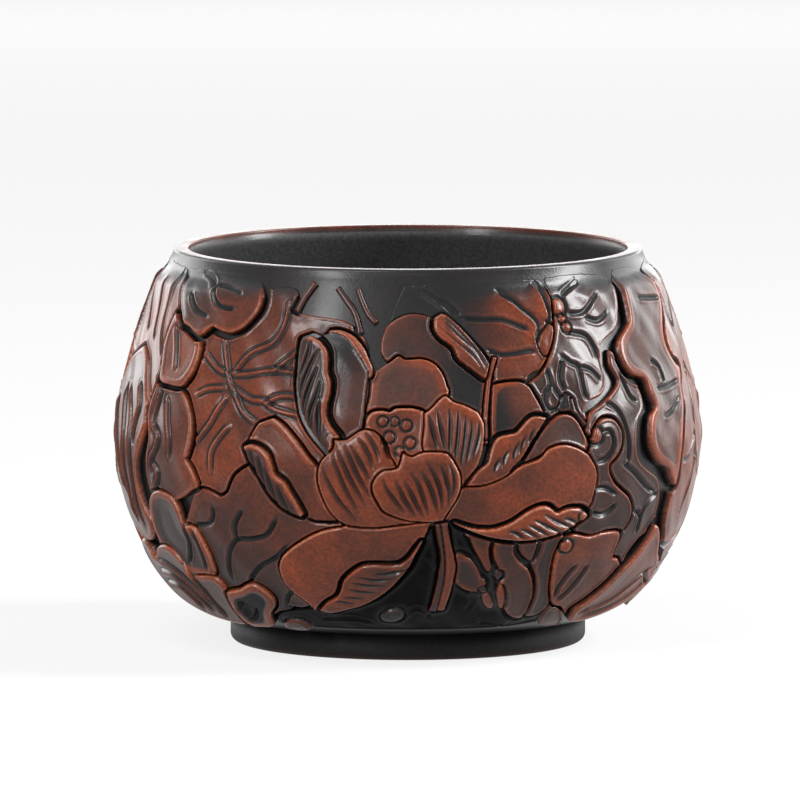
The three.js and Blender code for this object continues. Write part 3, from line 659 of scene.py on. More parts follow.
                    (-45.4, 6.2), (-46.6, 8.4)),
              rise=1.5, hollow=0.5, rim=1.2, tone=-0.8, rim_tone=0.9, vein_depth=0.5,
              veins=(((-45.2, 8.2), (-44, 9.2), (-42.2, 9.8)),
                     ((-44.4, 7), (-42, 7.2), (-40, 8), (-39, 8.9)))),
    )),
    Carving("petal_side_left", (
        Shape(ring=((-61.6, 51.4), (-57.4, 50.8), (-54, 50), (-50.4, 49), (-49.3, 47.6), (-49, 45.9),
                    (-49.7, 43.8), (-51.3, 42.1), (-52.8, 41.2), (-56.2, 41.2), (-60.6, 41.6), (-61.2, 44),
                    (-62.4, 47)),
              rise=1.3, hollow=0.15, rim=1.0, tone=0.6, rim_tone=0.9, clear=0.8,
              veins=(((-59.4, 50), (-57, 46.6), (-55.5, 43.4)),)),
    )),
    Carving("bud_left", (
        Shape(ring=((-64.7, 58.2), (-63.1, 56.8), (-62, 54.7), (-60.1, 52.6), (-58.2, 51.2), (-57, 50.2),
                    (-54.7, 49.9), (-52.4, 49.2), (-50.5, 48.8), (-48.6, 49.6), (-47, 50.4), (-45.5, 50.1),
                    (-41.7, 49.7), (-38.6, 50.4), (-36.3, 51.9), (-34.9, 53.3), (-34.5, 55), (-35.9, 56.8),
                    (-38.2, 57.9), (-46, 58.4), (-56, 58.5)),
              rise=1.4, round=0.3, tone=0.25, rim_tone=0.9, waves=0.2, clear=1.1, lean=(0.2, -0.2),
              top_fade=True,
              veins=(((-49.7, 56.4), (-45.5, 56.2), (-41.7, 55.6), (-40.2, 55.1)),
                     ((-49.7, 56.4), (-48.2, 54.4), (-45.5, 53.2), (-41.3, 53.1)),
                     ((-57.4, 58.2), (-53.2, 57.4), (-50.1, 56)),
                     ((-57, 54.6), (-53.4, 52.4), (-49, 51.6)))),
    )),
)

LOTUS: tuple[Carving, ...] = (
    Carving("stem", (
        Shape(left=((5.4, 22.7), (5.9, 20.5), (6.7, 17.7), (6.5, 14.7), (5.8, 11.3), (5.1, 9.2)),
              right=((8, 23), (8.4, 19.9), (8.8, 16.1), (8.6, 13.6), (8, 11.3), (7.4, 9.2)), rise=0.85,
              tone=0.08, rim_tone=0.1),
        Shape(left=((6.7, 22.8), (7.4, 19.9), (8, 17), (8, 14.6), (7.5, 11.6), (6.9, 9.4)),
              right=((7.8, 23), (8.7, 19.9), (9.6, 17.7), (10.1, 16.1), (9.8, 13.6), (9.2, 11.3),
                     (8.5, 9.4)),
              rise=1.2, round=0.3, tone=0.55, rim_tone=0.8, clear=0.3),
    )),
    Carving("petal_back_top", (
        Shape(left=((-2, 45), (-5.5, 47.5), (-5.6, 49.9), (-4.7, 51.6)),
              top=((-2.7, 52.7), (0, 53.4), (2.5, 53.4)),
              right=((13, 36), (15.6, 39), (15.8, 43.6), (11.5, 47.5), (6.5, 52.2), (4.7, 53)), rise=0.95,
              base_rise=0.7, rim=0.6, bead=0.0, tone=0.08, rim_tone=0.35, lean=(-0.15, 0.05)),
        Shape(left=((17, 44.1), (15.7, 44), (14.1, 44.9), (12.1, 46), (10.5, 47), (9.7, 48.4), (8.7, 49.1),
                    (6.9, 50), (5.7, 51.3), (5.8, 52.8)),
              right=((17, 44.1), (17, 45.6), (16.1, 47.2), (14.5, 48.7), (12.6, 50.4), (10.4, 52),
                     (8.5, 53.1), (7.4, 53.4)),
              rise=1.4, round=0.3, rim=1.5, rim_side=Side.LEFT, tone=0.3, rim_tone=0.95, clear=0.75,
              groove_depth=0.25, groove_width=0.16,
              grooves=(((7, 51.3), (9.5, 49.8), (11.5, 48.5), (13.5, 47.3), (15.9, 44.6)),
                       ((8.2, 51.9), (10.4, 50.4), (12.4, 49.1), (14.4, 47.7), (16.3, 45.2)),
                       ((8.3, 52.6), (10.2, 51.3), (12.4, 49.7), (14.6, 48), (16.5, 45.9)))),
    )),
    Carving("petal_right_under", (
        Shape(left=((20, 31), (23.4, 32.8), (25.4, 34.9), (28.7, 36.9), (31, 38.1), (33.7, 38.2),
                    (35.5, 37.3), (36.8, 35.5)),
              right=((20, 31), (24.7, 32.1), (27.8, 32.8), (31.7, 33.2), (34.9, 33), (36.9, 32.7),
                     (38, 33.7)),
              rise=0.8, hollow=0.15, tone=0.25, rim_tone=0.5, lean=(-0.2, 0)),
    )),
    Carving("petal_right", (
        Shape(left=((14.5, 31), (15.6, 33.5), (16.5, 35.6), (16.8, 39), (17.5, 43)),
              top=((20.3, 43.3), (23.4, 43.3), (25.2, 42.6), (26.3, 41.3), (27.6, 39.3)),
              right=((14.5, 31), (22, 34.5), (28.3, 38)), rise=0.95, base_rise=0.6, rim=0.7, bead=0.0,
              tone=0.12, rim_tone=0.6, lean=(0.5, 0.15)),
        Shape(left=((10.8, 27.9), (13.7, 30.7), (15.5, 31.8), (16.3, 33.7), (17.4, 35.1), (18.8, 35.6),
                    (21.4, 35.9), (22.9, 36.8), (24.4, 37.8), (26, 38.2), (28.3, 37.9)),
              right=((10.8, 27.9), (15.2, 28.2), (17.2, 28.7), (18.8, 29.5), (20.6, 31.1), (22.2, 32.1),
                     (23.7, 33.6), (24.9, 34.8), (26.3, 36.1), (28.3, 37.9)),
              rise=1.3, round=0.3, rim_side=Side.LEFT, tone=0.85, clear=0.75,
              grooves=(((17.9, 32.4), (17.3, 31.5), (16.7, 30.4)),
                       ((19.6, 33.3), (18.9, 32.4), (18.5, 31.2)), ((21.9, 34.6), (21.2, 33.5), (20.5, 32)),
                       ((23.2, 35.3), (22.7, 34.2), (21.9, 32.9)),
                       ((25.2, 36.3), (24.7, 35.4), (24, 34.3)))),
        Shape(path=((18.5, 47), (17.4, 45.2), (16.7, 43.7), (16, 41.1), (15.4, 38), (15.2, 35.2)),
              width=0.55, rise=1.15, round=0.2, tone=0.35, rim_tone=0.5, clear=0.3),
    )),
    Carving("petal_back_centre", (
        Shape(left=((-6, 36), (-8.2, 39.1), (-7.7, 41.3), (-7.5, 43.4), (-6.9, 44.9)),
              top=((-5.2, 45.8), (-3.4, 46.6), (-2, 47.3), (-0.5, 46.8), (2.5, 46.9), (4.3, 46.6),
                   (6, 45.8)),
              right=((4, 36), (7.9, 41.5), (7.8, 43), (7.2, 44.5)), rise=1.25, base_rise=0.9, hollow=0.1,
              rim=1.2, bead=0.0, tone=0.36, rim_tone=0.8, clear=0.36),
    )),
    Carving("petal_upper_left", (
        Shape(ring=((-16.9, 50.9), (-15, 51), (-12.6, 50.5), (-10.6, 49.5), (-9.2, 48.3), (-8.3, 47),
                    (-7.3, 45.5), (-7.9, 44.2), (-11, 45), (-14, 48), (-17.6, 49.6)),
              rise=1.05, round=0.2, tone=1.0, rim_tone=1.0),
        Shape(left=((-12.5, 35), (-14.9, 36.7), (-16.5, 38.2), (-17.2, 41), (-17.8, 45), (-19.8, 48.4),
                    (-20, 49.8)),
              top=((-18, 50.4), (-16.2, 50.5), (-14.5, 50.2), (-12.8, 49.5)),
              right=((-12.5, 35), (-9.7, 36.4), (-8.8, 37.4), (-8.6, 40.4), (-8.3, 43), (-8.1, 44.9),
                     (-8.8, 45.9), (-9.8, 47), (-11.1, 48.2)),
              rise=1.0, hollow=-0.35, rim=0.3, rim_side=Side.RIGHT, bead=0.2, tone=0.15, rim_tone=0.2,
              lean=(0.15, -0.25), clear=0.1, shadow=0.1),
        Shape(left=((-14.9, 32.8), (-16.1, 33.8), (-17.8, 35.1), (-19.8, 36.9), (-21.3, 38.8), (-22.2, 41),
                    (-22.8, 43.2), (-22.9, 45.4), (-23.1, 47.6), (-23, 49.4)),
              right=((-14.9, 32.8), (-14.3, 34.2), (-14.6, 35.1), (-13.4, 35.5), (-15.1, 37), (-16.1, 38.5),
                     (-16.2, 39.9), (-15.7, 41.8), (-15.7, 43.4), (-16.4, 44.7), (-16.6, 46.2), (-17, 47.8),
                     (-18.8, 49.2), (-21.1, 49.9)),
              rise=1.7, round=0.55, rim=0.75, rim_side=Side.RIGHT, bead=0.15, tone=0.1, rim_tone=1.0,
              clear=0.9, groove_depth=0.5, groove_width=0.26,
              grooves=(((-20.8, 49.3), (-21.1, 47), (-22.7, 43.4)),
                       ((-18.8, 47.9), (-20.3, 45.7), (-21.4, 43.2), (-22.2, 40.2)),
                       ((-18.7, 45.3), (-19.7, 43.3), (-20.7, 40.7), (-21.1, 37.6)),
                       ((-17.8, 43.3), (-18.4, 41.2), (-19.3, 39), (-19.4, 36)),
                       ((-17.8, 41.1), (-17.8, 39), (-17.6, 37.2), (-17.4, 34.8)))),
    )),
    Carving("petal_outer_left", (
        Shape(left=((-13, 23.3), (-16.4, 26), (-17.4, 28.1), (-17.6, 30.3), (-18.1, 31.3), (-19.9, 32.7),
                    (-21.7, 34.4), (-23.9, 36.1), (-25.7, 37.2), (-27.5, 37.9)),
              top=((-29.3, 37.4), (-30.8, 36.8)),
              right=((-13, 23.3), (-16.7, 23.1), (-20.3, 23.6), (-25, 27.5), (-30, 31.5), (-32.6, 34.4)),
              rise=1.15, base_rise=0.8, rim=1.0, rim_side=Side.LEFT, tone=0.5, clear=0.5),
        Shape(left=((-21, 24.1), (-22.1, 25.8), (-23.3, 27.3), (-24.5, 28.8), (-26.4, 29.8), (-27, 31),
                    (-27.8, 32.5), (-29.6, 33.5), (-31.9, 33.9), (-33.5, 33.5)),
              right=((-21, 24.1), (-21.9, 23.8), (-24.6, 24.6), (-26.7, 25.8), (-28.7, 27.6), (-30.1, 29.4),
                     (-31.9, 31.3), (-33.5, 33.5)),
              rise=1.6, round=0.45, rim=0.75, rim_side=Side.LEFT, bead=0.15, tone=0.15, rim_tone=1.0,
              clear=0.75, groove_depth=0.45, groove_width=0.28,
              grooves=(((-31.8, 33), (-31.4, 31.6), (-30.6, 29.6)),
                       ((-30, 32.1), (-29.6, 30.8), (-28.7, 27.6)),
                       ((-28.7, 30.6), (-27.9, 29), (-26.4, 25.6)),
                       ((-26, 28.1), (-25.3, 26.5), (-24, 24.4)))),
    )),
    Carving("petal_long_left", (
        Shape(left=((4.4, 23), (0.4, 23), (-3.9, 22.5), (-7.9, 22.2), (-11.9, 22.5), (-13.1, 22.3),
                    (-16.9, 21.7), (-20.1, 20.7), (-24.1, 19), (-27.2, 17.3)),
              top=((-28.3, 15.7), (-28, 13.4), (-26.2, 11.9)),
              right=((4.4, 23), (2.8, 20.2), (-2, 16.2), (-9, 15), (-14, 12.4), (-18, 10.6), (-21.5, 9.2),
                     (-23.7, 10.5)),
              rise=1.25, base_rise=0.9, bead=0.03, tone=0.72, lean=(-0.2, 0.1), clear=0.36),
        Shape(left=((2.8, 20.2), (1.6, 19.1), (0.6, 18.1), (-0.8, 17.2), (-2.7, 16.7), (-7.5, 16.7),
                    (-9.6, 16.5), (-11.9, 15.5), (-13.5, 14.5), (-14.3, 13.7), (-14.7, 12.9), (-15.9, 11.7),
                    (-18.8, 10.6), (-21, 9.4)),
              right=((2.8, 20.2), (1.4, 18.3), (0.2, 16.5), (-1.7, 14.8), (-3.9, 13.2), (-6.6, 11.8),
                     (-10.4, 10.5), (-14.5, 9.7), (-18.4, 9.1), (-21, 9.4)),
              rise=1.6, round=0.3, tone=0.55, rim_tone=0.8, lean=(-0.4, 0), clear=0.75,
              grooves=(((-7.2, 15.4), (-4.4, 15.4), (0, 16.2)), ((-10.6, 14.9), (-7.2, 14.4), (-3.2, 14.8)),
                       ((-12, 14), (-9.1, 13.6), (-5, 13.7)), ((-13.3, 13), (-10.5, 12.6), (-7, 12.6)),
                       ((-14.3, 11.7), (-12.2, 11.6), (-9.8, 11.6)),
                       ((-16.5, 11), (-14.5, 10.9), (-12, 10.8)))),
    )),
    Carving("petal_long_right", (
        Shape(left=((6.9, 23.6), (9.4, 26.6), (10.5, 28.1), (15, 28.4), (19.3, 29.6), (22.3, 31.1),
                    (26.2, 32), (28.4, 33.3), (31.6, 33.8), (34.6, 33.3), (37.3, 32.2)),
              top=((39.1, 30.3), (39.6, 28.6), (39.2, 26.6)),
              right=((6.9, 23.6), (11.5, 22.8), (18, 21.9), (24, 22.6), (30, 22.8), (36, 23.4),
                     (38.8, 25)),
              rise=1.25, base_rise=0.9, rim=0.6, bead=0.03, tone=0.66, rim_tone=0.85, lean=(0.1, -0.1),
              clear=0.36),
        Shape(left=((9.2, 23), (12.1, 22.3), (14.1, 22), (16.6, 21.9), (18.6, 22.2), (21.1, 22.9),
                    (23.8, 24.2), (25.9, 24.9), (27.6, 25.1), (29, 24.8), (30.7, 23.9), (32.3, 24.3),
                    (33.9, 24.5), (36.3, 24.3), (38, 23.6)),
              right=((9.2, 23), (12.7, 21.8), (16.7, 20.8), (21.3, 20.2), (25.1, 20.1), (28.9, 20.4),
                     (32.8, 21.1), (35.6, 22.1), (38.3, 23.3)),
              rise=1.6, round=0.3, tone=0.9, clear=0.75,
              grooves=(((20.4, 21.6), (21.9, 21.3), (24, 20.5)), ((22.9, 21.9), (24.8, 21.3), (27.1, 20.5)),
                       ((24.6, 22.4), (26.4, 21.8), (29.1, 20.8)),
                       ((25.6, 23.2), (28.6, 22.1), (32.4, 20.9)), ((27.8, 23.9), (31.1, 22.6), (35, 21.6)),
                       ((32.2, 23.1), (34.2, 22.7), (35.9, 22.2))),
              beads=((36.9, 23.2, 0.75, 0.25),)),
    )),
    Carving("seed_pod", (
        Shape(ring=((-8.3, 37), (-8.1, 38.3), (-7, 39.2), (-5, 39.4), (-3.6, 39.2), (-2.5, 39.7),
                    (-0.7, 39.8), (1.3, 39.7), (3.2, 39), (3.4, 36), (3.2, 33.4), (0.7, 32.4), (-1, 33),
                    (-2.4, 31), (-4.3, 33.6), (-6, 35.2)),
              rise=1.35, hollow=0.2, rim=0.5, tone=0.7,
              beads=((-0.3, 37.3, 0.75, 0.25), (0.4, 34.8, 0.75, 0.25), (-3.6, 35.6, 0.75, 0.25),
                     (-4.9, 37.9, 0.7, 0.25), (-2.6, 37.9, 0.6, 0.2), (-1.6, 33.6, 0.6, 0.2))),
    )),
    Carving("petal_pod_left", (
        Shape(left=((3, 23.2), (-2.9, 22.6), (-6.5, 22.3), (-10.2, 22.4), (-13.1, 22.9), (-15.6, 24.7),
                    (-17.4, 28.1), (-17.6, 30.3), (-17, 31.9), (-15.6, 33), (-14.5, 33.9), (-14.4, 35.1)),
              top=((-12.2, 35.1), (-10.5, 35.9), (-8.9, 36.6), (-6.9, 36.5)),
              right=((3, 23.2), (0, 26), (-2.4, 31.4), (-3.5, 32.8), (-4.1, 34.3), (-5.5, 35.8)), rise=1.5,
              base_rise=1.15, round=0.5, bead=0.0, tone=0.9, clear=0.26,
              grooves=(((-16.7, 31.1), (-15.7, 29.4), (-14.6, 27.7), (-13.1, 25.9), (-10.2, 23.4)),
                       ((-14.7, 32.8), (-13.5, 30.7), (-12.4, 28.5), (-11, 26.4), (-9.7, 24.7)),
                       ((-13.5, 33.4), (-11.9, 30.8), (-10.2, 28.3), (-8.3, 25.8)),
                       ((-12.1, 34.2), (-10.5, 31.6), (-9, 29.2), (-7.3, 27)),
                       ((-10.9, 34.1), (-9.5, 32.4), (-8.2, 30.7), (-7.2, 29.2)),
                       ((-9.4, 35.3), (-8.2, 34), (-7.2, 32.5), (-6.8, 31.2)),
                       ((-8, 36.2), (-7, 35), (-6, 33.5), (-5.6, 32.3)),
                       ((-5.3, 35.8), (-4.5, 34.6), (-3.7, 32.6)))),
    )),
    Carving("petal_pod_right", (
        Shape(left=((9.5, 27.5), (7.9, 30), (4.8, 33), (2.9, 33.9), (3.2, 37.1), (3.2, 39)),
              top=((4.7, 39.8), (6.4, 41.1), (7.6, 41.5), (9, 40.7), (11.6, 40)),
              right=((9.5, 27.5), (11.8, 29.8), (13.5, 31.5), (14.4, 33.5), (14.9, 35.9), (14.9, 37.6),
                     (13.9, 39.1)),
              rise=1.5, base_rise=1.0, round=0.4, bead=0.0, tone=0.6, lean=(0.1, 0.2), clear=0.26,
              grooves=(((4.2, 38.6), (4.7, 36.9), (5.6, 34)), ((5.8, 39.4), (6.3, 37.1), (7.2, 33.8)),
                       ((8, 39.5), (8.3, 37.4), (8, 33.4)), ((9.8, 39.3), (9.8, 36.8), (9.1, 32.4)),
                       ((11.2, 38.4), (11.2, 36.2), (10.2, 31.6)),
                       ((12.3, 37.8), (12.4, 35.9), (11.2, 31.8)),
                       ((13.9, 37.6), (13.8, 35.5), (12.5, 32.5)))),
    )),
    Carving("petal_centre", (
        Shape(left=((6.9, 23.4), (4.4, 23.2), (0.4, 23.4), (-2.1, 23.9), (-4.7, 24.8), (-6.1, 26.4),
                    (-6.9, 27.9), (-6.6, 29.4), (-4.9, 30.8), (-2.3, 31.1), (-1.5, 31.9), (-1, 33.4)),
              top=((0.7, 32.8), (2.9, 33.4), (6.5, 33.4), (7.9, 33)),
              right=((6.9, 23.4), (8.3, 25.2), (9.4, 26.6), (10.1, 28.3), (10, 30.2), (9.2, 31.6)),
              rise=1.6, base_rise=1.3, round=0.4, bead=0.0, tone=0.85, clear=0.26,
              grooves=(((-4.7, 29.6), (-4.1, 28.2), (-2.9, 26.8), (-0.6, 24.6)),
                       ((-2.3, 29.4), (-1.4, 27.9), (-0.4, 26.3), (1.6, 24)),
                       ((-0.6, 29.4), (0.6, 27.7), (1.8, 25.7), (3.2, 23.9)),
                       ((0.6, 30.6), (1.9, 29.1), (2.9, 27.1), (4.1, 24.4)),
                       ((2.7, 30.8), (4.1, 28.8), (5.1, 26.8), (5.9, 24.4)),
                       ((3.7, 32), (5.3, 30), (6.3, 27.8), (6.7, 25.3)),
                       ((6.2, 31.8), (7.2, 30), (7.9, 27.8), (7.8, 25.8)),
                       ((8, 31.7), (8.8, 30), (8.9, 28.3), (8.4, 26.7)))),
    )),
)


# The carver's tools.


@dataclass(frozen=True)
class Mark:
    """A carved line's section. Lip, ridge, crest and dip lie so many millimetres out from its middle.

    Attributes:
        reach: how far from the line's middle the clay is touched, in millimetres.
        ends: share of the line over which it thins out at each end.
        wiped: share of the brown that the cut loses.
        cut_shade: how much painted shade makes the cut darker than plain glaze.
    """

    reach: float
    ends: float
    wiped: float
    cut_shade: float

    def cut(self, shape: Shape, gap: Array, along: Array, h: Array, tone: Array) -> Skin:
        """Cuts the mark into the clay near a line.

        Args:
            shape: the face, which says how deep and wide its lines are.
            gap: millimetres from the line to each point, or from a fold's line to its left.
            along: how far along the line each point lies, from 0 to 1.
            h: heights of the clay at the points.
            tone: its tones.

        Returns:
            The new heights and tones.
        """
        raise NotImplementedError


@dataclass(frozen=True)
class Groove(Mark):
    """A tapered stroke, broad in the middle, with a lip of clay thrown up on either side.

    Swell is the power that makes the middle broad, tip the width left at the ends as a share of the
    middle's, and the lip is measured in the stroke's own half width and depth.
    """

    reach: float = 1.2
    ends: float = 0.03
    wiped: float = 0.97
    cut_shade: float = 0.15
    swell: float = 0.6
    tip: float = 0.35
    lip_out: float = 2.2
    lip_height: float = 0.2

    def cut(self, shape: Shape, gap: Array, along: Array, h: Array, tone: Array) -> Skin:
        """Cuts the stroke, with Mark's arguments and result."""
        bulge = np.sin(math.pi * np.clip(along, self.ends, 1 - self.ends)) ** self.swell
        half = shape.groove_width * (self.tip + (1 - self.tip) * bulge)
        cut = bell(gap, half) * np.sqrt(bulge)
        lip = bell(gap - self.lip_out * half, half) * bulge
        h = h + (self.lip_height * shape.groove_depth * lip - shape.groove_depth * cut)
        # The cut loses its brown and takes painted shade.
        return h, tone * (1 - self.wiped * cut) - self.cut_shade * cut


@dataclass(frozen=True)
class CutVein(Mark):
    """A thin carved line with a low lip on either side, which keeps a share of its depth at the tips.
    """

    reach: float = 1.8
    ends: float = 0.1
    wiped: float = 0.9
    cut_shade: float = 0.6
    tip: float = 0.3
    thin: float = 0.18
    swell: float = 0.14
    lip_out: float = 0.65
    lip_width: float = 0.22
    lip_height: float = 0.1
    lip_brown: float = 0.1

    def cut(self, shape: Shape, gap: Array, along: Array, h: Array, tone: Array) -> Skin:
        """Cuts the line, with Mark's arguments and result."""
        ends = thinned(along, self.ends)
        cut = bell(gap, self.thin + self.swell * ends) * (self.tip + (1 - self.tip) * ends)
        lip = bell(gap - self.lip_out, self.lip_width) * ends
        h = h + (self.lip_height * lip - shape.vein_depth * cut)
        # The line loses its brown and takes painted shade.
        return h, (tone + self.lip_brown * lip) * (1 - self.wiped * cut) - self.cut_shade * cut


@dataclass(frozen=True)
class Rib(Mark):
    """A thin ridge that stands up between two carved lines, whose depth is a share of its height.
    """

    reach: float = 1.8
    ends: float = 0.1
    wiped: float = 0.8
    cut_shade: float = 0.4
    tip: float = 0.3
    ridge_width: float = 0.26
    ridge_brown: float = 0.15
    cut_out: float = 0.55
    cut_width: float = 0.2
    cut_depth: float = 0.7

    def cut(self, shape: Shape, gap: Array, along: Array, h: Array, tone: Array) -> Skin:
        """Raises the ridge and cuts its lines, with Mark's arguments and result."""
        left = self.tip + (1 - self.tip) * thinned(along, self.ends)
        ridge = bell(gap, self.ridge_width) * left
        cut = bell(gap - self.cut_out, self.cut_width) * left
        h = h + (shape.vein_depth * ridge - shape.vein_depth * self.cut_depth * cut)
        # The carved lines lose their brown and take painted shade.
        return h, (tone + self.ridge_brown * ridge) * (1 - self.wiped * cut) - self.cut_shade * cut


@dataclass(frozen=True)
class Fold(Mark):
    """A step: the lobe on the line's left stands up, with a dip on the line's right that painted shade makes
    dark.
    """

    reach: float = 3.0
    ends: float = 0.12
    wiped: float = 0.95
    cut_shade: float = 0.5
    points: int = 60
    lobe_width: float = 1.5
    lobe_height: float = 0.3
    lobe_brown: float = 0.25
    step: float = 0.2
    crest_out: float = 0.18
    crest_width: float = 0.16
    crest_height: float = 0.14
    dip_out: float = 0.45
    dip_width: float = 0.4
    dip_depth: float = 0.4

    def cut(self, shape: Shape, gap: Array, along: Array, h: Array, tone: Array) -> Skin:
        """Lays the fold, with Mark's arguments and result."""
        ends = thinned(along, self.ends)
        lobe = bell(gap, self.lobe_width) * smoothstep((gap + self.step / 2) / self.step) * ends
        dip = bell(gap + self.dip_out, self.dip_width) * ends
        crest = bell(gap - self.crest_out, self.crest_width) * ends
        h = h + (self.lobe_height * lobe + self.crest_height * crest - self.dip_depth * dip)
        # The dip loses its brown and takes painted shade.
        return h, (tone + self.lobe_brown * lobe) * (1 - self.wiped * dip) - self.cut_shade * dip


@dataclass(frozen=True)
class Bud:
    """A small round bud with a moat round it that painted shade darkens; both are measured in bud radii.
    """

    moat_out: float = 1.15
    moat_width: float = 0.22
    moat_depth: float = 0.3
    moat_shade: float = 0.6
    crown: float = 0.95
    brown: float = 0.75

    def set(self, gap: Array, rise: float, h: Array, tone: Array) -> Skin:
        """Sets a bud on a face.

        Args:
            gap: bud radii from its middle to each point.
            rise: how far it stands up, in millimetres.
            h: heights of the face.
            tone: its tones.

        Returns:
            The new heights and tones.
        """
        # The moat round the bud takes painted shade.
        moat = bell(gap - self.moat_out, self.moat_width)
        h = h + rise * np.sqrt(hump(gap, 1)) - self.moat_depth * moat
        around = tone * (1 - moat) - self.moat_shade * moat
        return h, np.where(gap < self.crown, np.maximum(tone, self.brown), around)


@dataclass(frozen=True)
class Gap:
    """The gap that is carved round a face into what lies behind it, which throws up a low lip. Painted shade
    makes the gap black and what lies behind near the face darker.
    """

    bank: float = 0.22
    lip_out: float = 0.14
    lip_width: float = 0.18
    lip_height: float = 0.16
    lip_from: float = 0.2
    lip_run: float = 0.3
    shade: float = 0.6

    def cut(self, deep: Array, face: Shape, floor: float, h: Array, tone: Array) -> Skin:
        """Cuts the gap and paints its shade: black in the gap, and darker on what lies behind near the face.

        Args:
            deep: how deep inside the face's outline each point lies, in millimetres.
            face: the face that lies over.
            floor: height of the gap's bottom.
            h: heights of what lies behind.
            tone: its tones.

        Returns:
            The new heights and tones.
        """
        out = -deep - face.clear
        near = smoothstep(-out / self.bank)
        shade = np.clip(1 - out / face.shadow, 0, 1) ** 2
        stands = smoothstep((h - floor - self.lip_from) / self.lip_run)
        edge = hump(out - self.lip_out, self.lip_width) * stands
        h = h * (1 - near) + np.minimum(h, floor) * near + self.lip_height * edge
        # Painted shade: the gap goes to -1, and the ground near the face darkens as a painted shadow.
        return h, tone * (1 - near) * (1 - self.shade * shade * (1 - edge)) - near


@dataclass(frozen=True)
class Wave:
    """A slow wave in a face: its strength, its radians a millimetre across and up, and its shift."""

    strength: float
    across: float
    up: float
    shift: float


GROOVE = Groove()
CUT_VEIN = CutVein()
RIB = Rib()
FOLD = Fold()
BUD = Bud()
GAP = Gap()
WAVES = (Wave(1.0, 0.62, 0.35, 0.0), Wave(1.0, -0.27, 0.71, 1.3), Wave(0.6, 1.3, 0.9, 2.1))


# Laying a carving on the wall.


@dataclass(frozen=True)
class Patch:
    """The grid that a piece is cut from.

    Attributes:
        u: millimetres round the wall.
        v: millimetres up the wall.
        cells: each point's column and row.
        low: the grid's lower left corner.
        high: its upper right corner.
    """

    u: Array
    v: Array
    cells: Array
    step: float
    low: Array
    high: Array

    def soften(self, values: Array, reach: float) -> Array:
        """Evens out values, which rounds off creases.

        Args:
            values: one value for each point.
            reach: millimetres over which they are evened out; the bell ends at twice that.

        Returns:
            The new values.
        """
        columns, rows = self.cells.T
        plane = np.zeros(self.cells.max(axis=0) + 1)
        plane[columns, rows] = values
        side = max(int(round(reach * 2 / self.step)), 1)
        weights = np.exp(-0.5 * (np.arange(-side, side + 1) * self.step / reach) ** 2)
        weights /= weights.sum()
        for axis in (0, 1):
            margins = [(side, side) if k == axis else (0, 0) for k in (0, 1)]
            padded = np.pad(plane, margins, "reflect", reflect_type="odd")
            plane = np.apply_along_axis(np.convolve, axis, padded, weights, "valid")
        return plane[columns, rows]

    def within(self, low: Array, high: Array) -> Array:
        """The numbers of the points inside a box, none where the box misses the grid."""
        if (high < self.low).any() or (low > self.high).any():
            return np.zeros(0, int)
        return np.flatnonzero((self.u > low[0]) & (self.u < high[0]) & (self.v > low[1]) & (self.v < high[1]))


